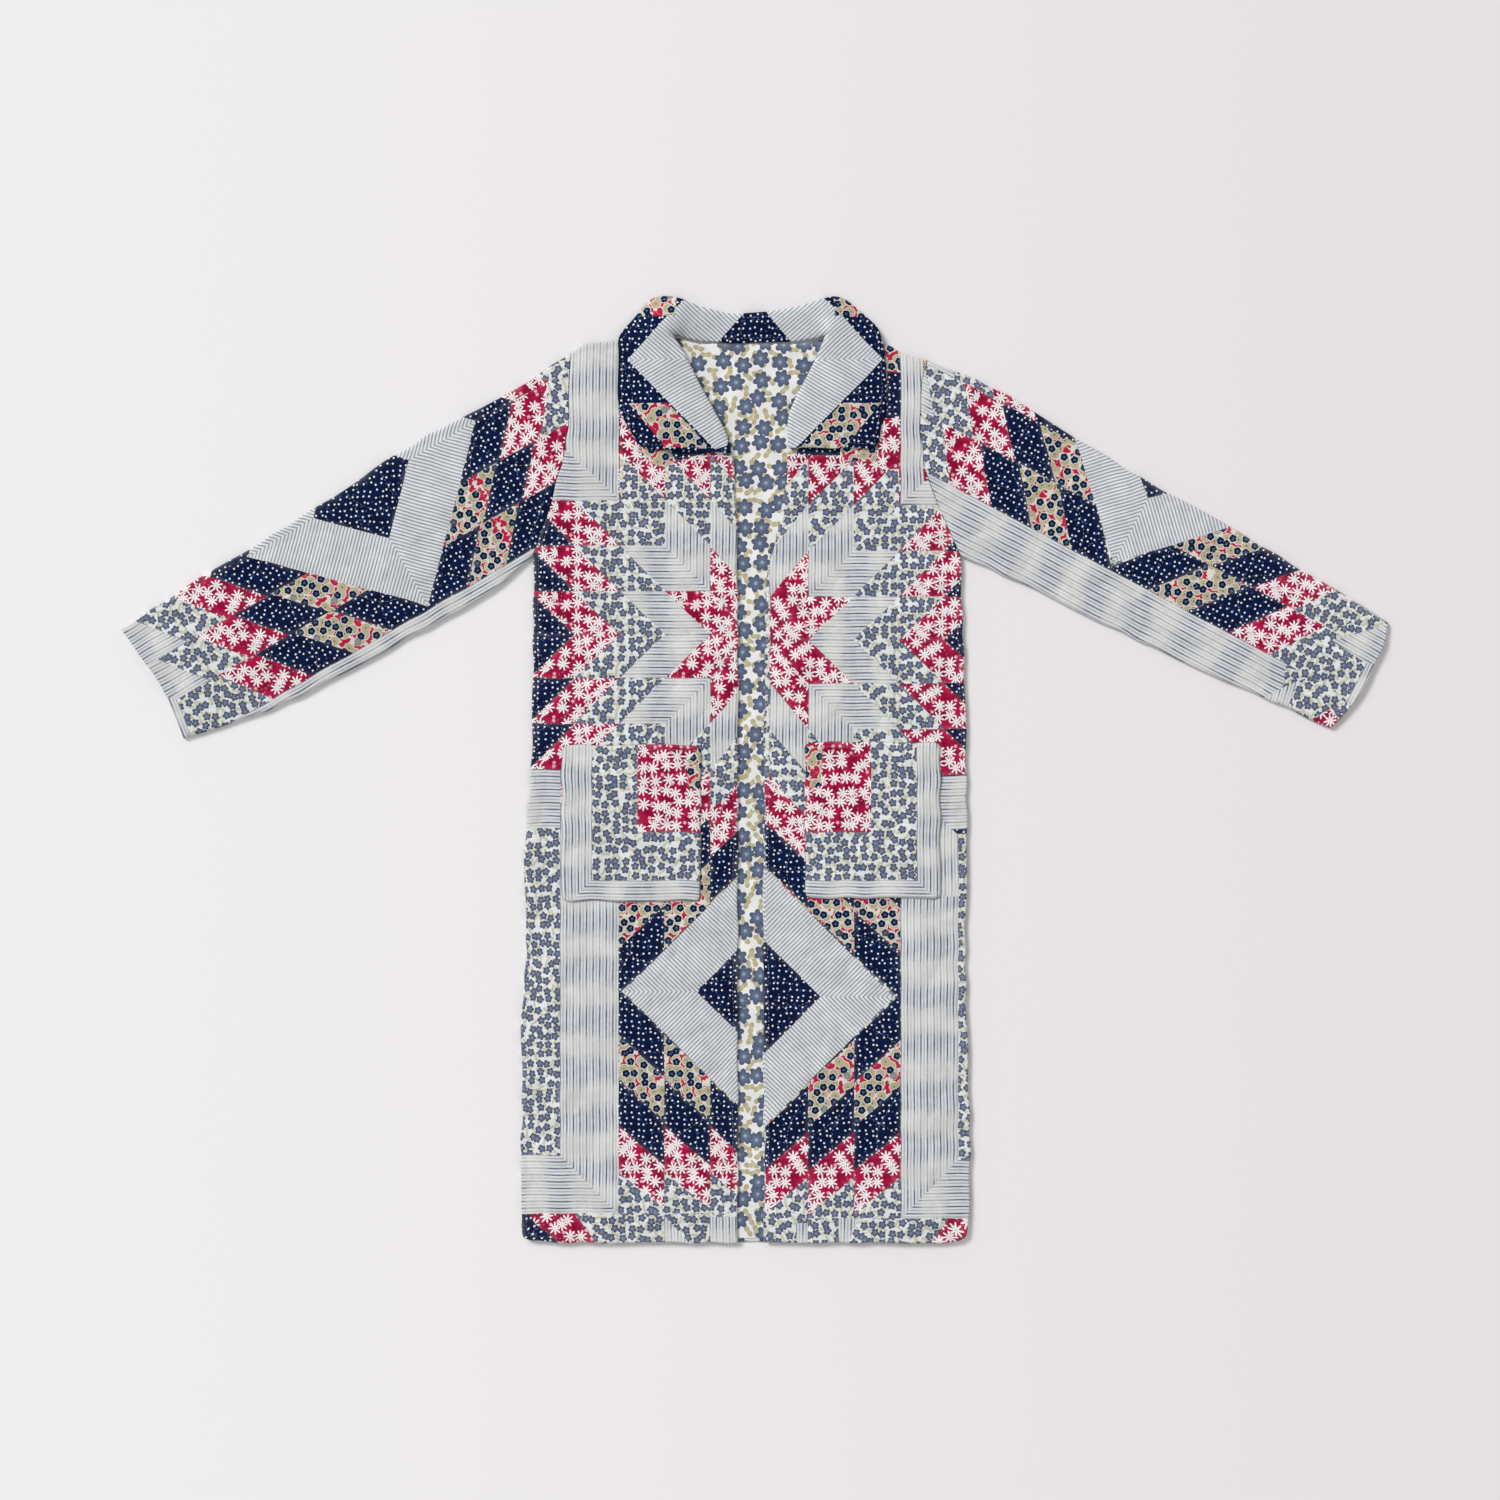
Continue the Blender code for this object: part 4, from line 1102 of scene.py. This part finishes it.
def on_sleeve(hand, fabric, *corners, grain=0.0):
    """A patch of a sleeve, with corners along the sleeve to the cuff and across it to the lower fold, in steps."""
    along = np.array(sleeve_along[hand])
    across = np.array((along[1], -along[0])) if hand == "right" else np.array((-along[1], along[0]))
    spots = [np.array(sleeve_middle[hand]) + along * a + across * b for a, b in corners]
    angle = -math.degrees(math.atan2(along[1], along[0]))
    return patch(fabric, *spots, grain=angle + grain)


sleeve_patches = {
    "right": [
        patch_box("meadow", *ALL_OVER),
        *medallion(sleeve_middle["right"], sleeve_along["right"], sleeve_rows["right"], (1, -1), (7, 6), 132.0),
        patch("meadow", (177.5, 699), (219, 676.2), (273.7, 699), (262, 745), (193, 738)),
        patch("ikat", (161, 695), (177, 698.5), (193, 738), (190, 760), (140, 700), grain=-67),
        on_sleeve("right", "ikat", (-400, 136), (400, 136), (400, 300), (-400, 300)),
    ],
    "left": [
        patch_box("meadow", *ALL_OVER),
        *medallion(sleeve_middle["left"], sleeve_along["left"], sleeve_rows["left"], (1, -1), (5, 6)),
        on_sleeve("left", "ikat", (-400, 136), (200, 136), (250, 300), (-400, 300)),
        patch("meadow", (1295, 682), (1310, 676), (1345, 700), (1330, 740), (1289, 714)),
        patch("ikat", (1295, 682), (1289, 703), (1284, 720), (1240, 712), (1264, 696), grain=74),
        patch("ikat", (1350, 602), (1388, 623.7), (1394, 615), (1350, 588), grain=-29),
        patch("ikat", (1329.8, 641), (1367.6, 630.8), (1400, 620), (1385, 670), (1366, 664), grain=-29),
        patch("ikat", (1366, 664), (1345, 702), (1356, 714), (1400, 664), grain=61.6),
        patch("daisies", (1312, 718), (1331, 708), (1339, 722), (1324, 734)),
    ],
}
sleeve_creases = {
    "right": (
        # middle x, y, angle, half length, half width, bend, height
        (-300, 250, 62, 34, 6, 5, 0.9),
        (-330, 330, 20, 44, 7, -6, 0.7),
        (-430, 250, 40, 40, 7, 5, 0.6),
        (-520, 300, 118, 36, 6, -5, 0.7),
        (-560, 200, 30, 50, 7, 4, 0.6),
        (-680, 150, 74, 34, 6, 4, 0.5),
    ),
    "left": (
        (290, 255, 116, 36, 6, -5, 0.9),
        (330, 345, 160, 44, 7, 6, 0.7),
        (425, 300, 140, 42, 7, -5, 0.6),
        (520, 290, 64, 36, 6, 5, 0.7),
        (590, 230, 152, 46, 7, -4, 0.6),
        (690, 150, 110, 32, 6, -4, 0.5),
    ),
}
CUFF_ROW = 9 * MM  # from the open ends to their row of stitches
OPEN_ABOVE = FOLD_ROUND + 0.1 * MM  # the tube is open where its outline lies above this height
SLIVER = 0.08 * MM  # shorter edges are taken out, since the wall would turn over at them
for hand in ("right", "left"):
    node = "sleeve_" + hand
    tube, outline = cloth_piece(
        node + "_tube", node, sleeve_patches[hand], sleeve_patches[hand], sleeve_creases[hand], edge=FOLD_ROUND,
        least=2 * FOLD_ROUND, flat_below=0.0, open_over=OPEN_ABOVE, below_step=9 * MM,
    )
    shape = bmesh.new()
    shape.from_mesh(tube.data)
    bmesh.ops.dissolve_degenerate(shape, dist=SLIVER, edges=shape.edges)
    shape.to_mesh(tube.data)
    shape.free()
    tube.data.materials.append(COTTONS["lining"])
    wall = tube.modifiers.new("wall", "SOLIDIFY")
    wall.thickness = QUILT_CLOTH
    wall.offset = -1.0
    wall.material_offset = len(tube.data.materials)
    sleeve = linked(node + "_cloth", applied(tube, node + "_cloth"))
    rows = [*quilting_rows(outline[:, :2]), *edge_rows(outline, CUFF_ROW, OPEN_ABOVE)]
    sewing = [
        sewn(node + name, sleeve, rows, outline, side=side)
        for name, side in (("_stitches", 1), ("_under_stitches", -1))
    ]
    laid(sleeve, node)

# The collar
# A wide turned collar of the quilted cotton, one band with its stand folded down over the fronts and laid back behind
# the neck. Each wing has a striped square on its point on navy, with posies at its corners.

COLLAR_MIRROR = 1510.0  # twice the photograph's x of the collar's middle


def mirrored(row):
    """The same patch on the other wing."""
    fabric, polygon, grain = row
    middle = place(COLLAR_MIRROR / 2, 0.0)[0]
    return fabric, polygon * (-1.0, 1.0) + (2 * middle, 0.0), 180.0 - grain


collar_wing = [
    patch("pinstripe", (627.3, 360.6), (700, 284), (752, 300), (743, 315), (718, 343), (740, 361), grain=-42),
    patch("pinstripe", (627.3, 360.6), (740, 361), (740, 400), (727, 447), (716, 451), grain=30),
    patch_box("posies", 634, 290, 676, 317.6),
    patch("posies", (629.7, 404), (667.9, 404), (710, 449), (665.5, 448.5)),
]
collar_patches = [
    patch_box("dots", *ALL_OVER),
    *collar_wing,
    *[mirrored(row) for row in collar_wing],
    patch("dots", (718, 343), (744, 315), (748, 302), (762, 302), (766, 314), (792, 344)),
]

shape = bmesh.new()
shape.from_mesh(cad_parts["collar"].data)
bmesh.ops.remove_doubles(shape, verts=shape.verts, dist=WELD)
bmesh.ops.join_triangles(shape, faces=shape.faces, angle_face_threshold=0.7, angle_shape_threshold=0.9)
rough = bpy.data.meshes.new("collar_rough")
shape.to_mesh(rough)
shape.free()
rough_collar = linked("collar_rough", rough)
smooth = rough_collar.modifiers.new("smooth", "SUBSURF")
smooth.levels = smooth.render_levels = 2
shape = bmesh.new()
shape.from_object(rough_collar, bpy.context.evaluated_depsgraph_get())
bpy.data.objects.remove(rough_collar)

CUT_REACH = 7 * MM
for _, polygon, _ in collar_patches[1:]:
    for start, end in zip(polygon, np.roll(polygon, -1, axis=0)):
        run = end - start
        length = np.linalg.norm(run)
        run = run / length
        faces = []
        for face in shape.faces:
            centre = face.calc_center_median()
            away = np.array((centre.x, centre.y)) - start
            along, across = away @ run, away @ (-run[1], run[0])
            if abs(across) < CUT_REACH and -CUT_REACH < along < length + CUT_REACH:
                faces.append(face)
        parts = list({part for face in faces for part in (*face.verts, *face.edges)})
        bmesh.ops.bisect_plane(shape, geom=[*faces, *parts], dist=0.02 * MM, plane_co=(*start, 0.0),
                               plane_no=(-run[1], run[0], 0.0))
bmesh.ops.triangulate(shape, faces=shape.faces)
shape.verts.index_update()
vertices = np.array([tuple(vert.co) for vert in shape.verts])
corners = np.array([[vert.index for vert in face.verts] for face in shape.faces])
shape.free()
middles = vertices[corners].mean(axis=1)[:, :2]
owner = np.zeros(len(corners), int)
for k, (_, polygon, _) in enumerate(collar_patches):
    owner[within(middles, polygon)] = k
collar_plan = seen_faces("collar", 1)
collar_outline = outline_of(collar_plan)
collar_plan.free()
collar_away = nearest(vertices, divided(collar_outline, 2 * MM, closed=True))[0]
collar = printed_mesh("collar_cloth", vertices, corners, owner, collar_patches, collar_away)
collar_rows = [*edge_rows(collar_outline, EDGE_ROW), *quilting_rows(collar_outline[:, :2])]
collar_sewing = sewn("collar_stitches", collar, collar_rows, collar_outline, STITCH_MARGIN)
laid(collar, "collar")

# The floor, the light and the camera
# A pale plain surface with painted shade that darkens it from left to right, a soft wide light from the photograph's
# upper left and even light all round, and a camera straight above the coat, as the photograph was taken.

FLOOR_HALF = 6.0
FLOOR_DROP = 0.3 * MM
floor_mesh = bpy.data.meshes.new("floor")
floor_corners = [(x * FLOOR_HALF, y * FLOOR_HALF, -FLOOR_DROP) for x, y in ((-1, -1), (1, -1), (1, 1), (-1, 1))]
floor_mesh.from_pydata(floor_corners, [], [(0, 1, 2, 3)])
floor = linked("floor", floor_mesh)
floor_paint, floor_tree, floor_shader = new_paint("pale floor")
floor_place = wired(floor_tree, "ShaderNodeTexCoord", ["Object"])
floor_x, _, _ = parted(floor_tree, floor_place)
# painted shade: the floor's colour runs from lighter on the left to darker and a little pinker on the right, as if
# the light from the left fell off
floor_painted_shade = mixed(floor_tree, floor_x.eased(-1.1, 1.1), dyed(240, 239, 240), dyed(230, 226, 228))
feed(floor_tree, floor_shader.inputs["Base Color"], floor_painted_shade)
floor_shader.inputs["Roughness"].default_value = 0.95
floor_shader.inputs["Specular IOR Level"].default_value = 0.1
floor_mesh.materials.append(floor_paint)

world = bpy.data.worlds.new("even light")
bpy.context.scene.world = world
world.use_nodes = True
background = world.node_tree.nodes["Background"]
background.inputs["Color"].default_value = (1.0, 0.99, 0.99, 1.0)
background.inputs["Strength"].default_value = 0.55
bpy.context.scene.view_settings.view_transform = "Standard"

LAMP_PLACE = Vector((-2.0, 1.9, 2.3))
lamp_data = bpy.data.lights.new("soft window light", "SUN")
lamp_data.angle = math.radians(20.0)
lamp_data.energy = 2.2
lamp = linked("soft window light", lamp_data)
lamp.location = LAMP_PLACE
lamp.rotation_euler = (-LAMP_PLACE).to_track_quat("-Z", "Y").to_euler()

FRAME_WIDTH = 1.8
LENS, SENSOR = 85.0, 36.0
camera_data = bpy.data.cameras.new("from above")
camera_data.lens = LENS
camera_data.sensor_width = SENSOR
camera = linked("from above", camera_data)
camera.location = (*place(750, 750), FRAME_WIDTH * LENS / SENSOR)
bpy.context.scene.camera = camera
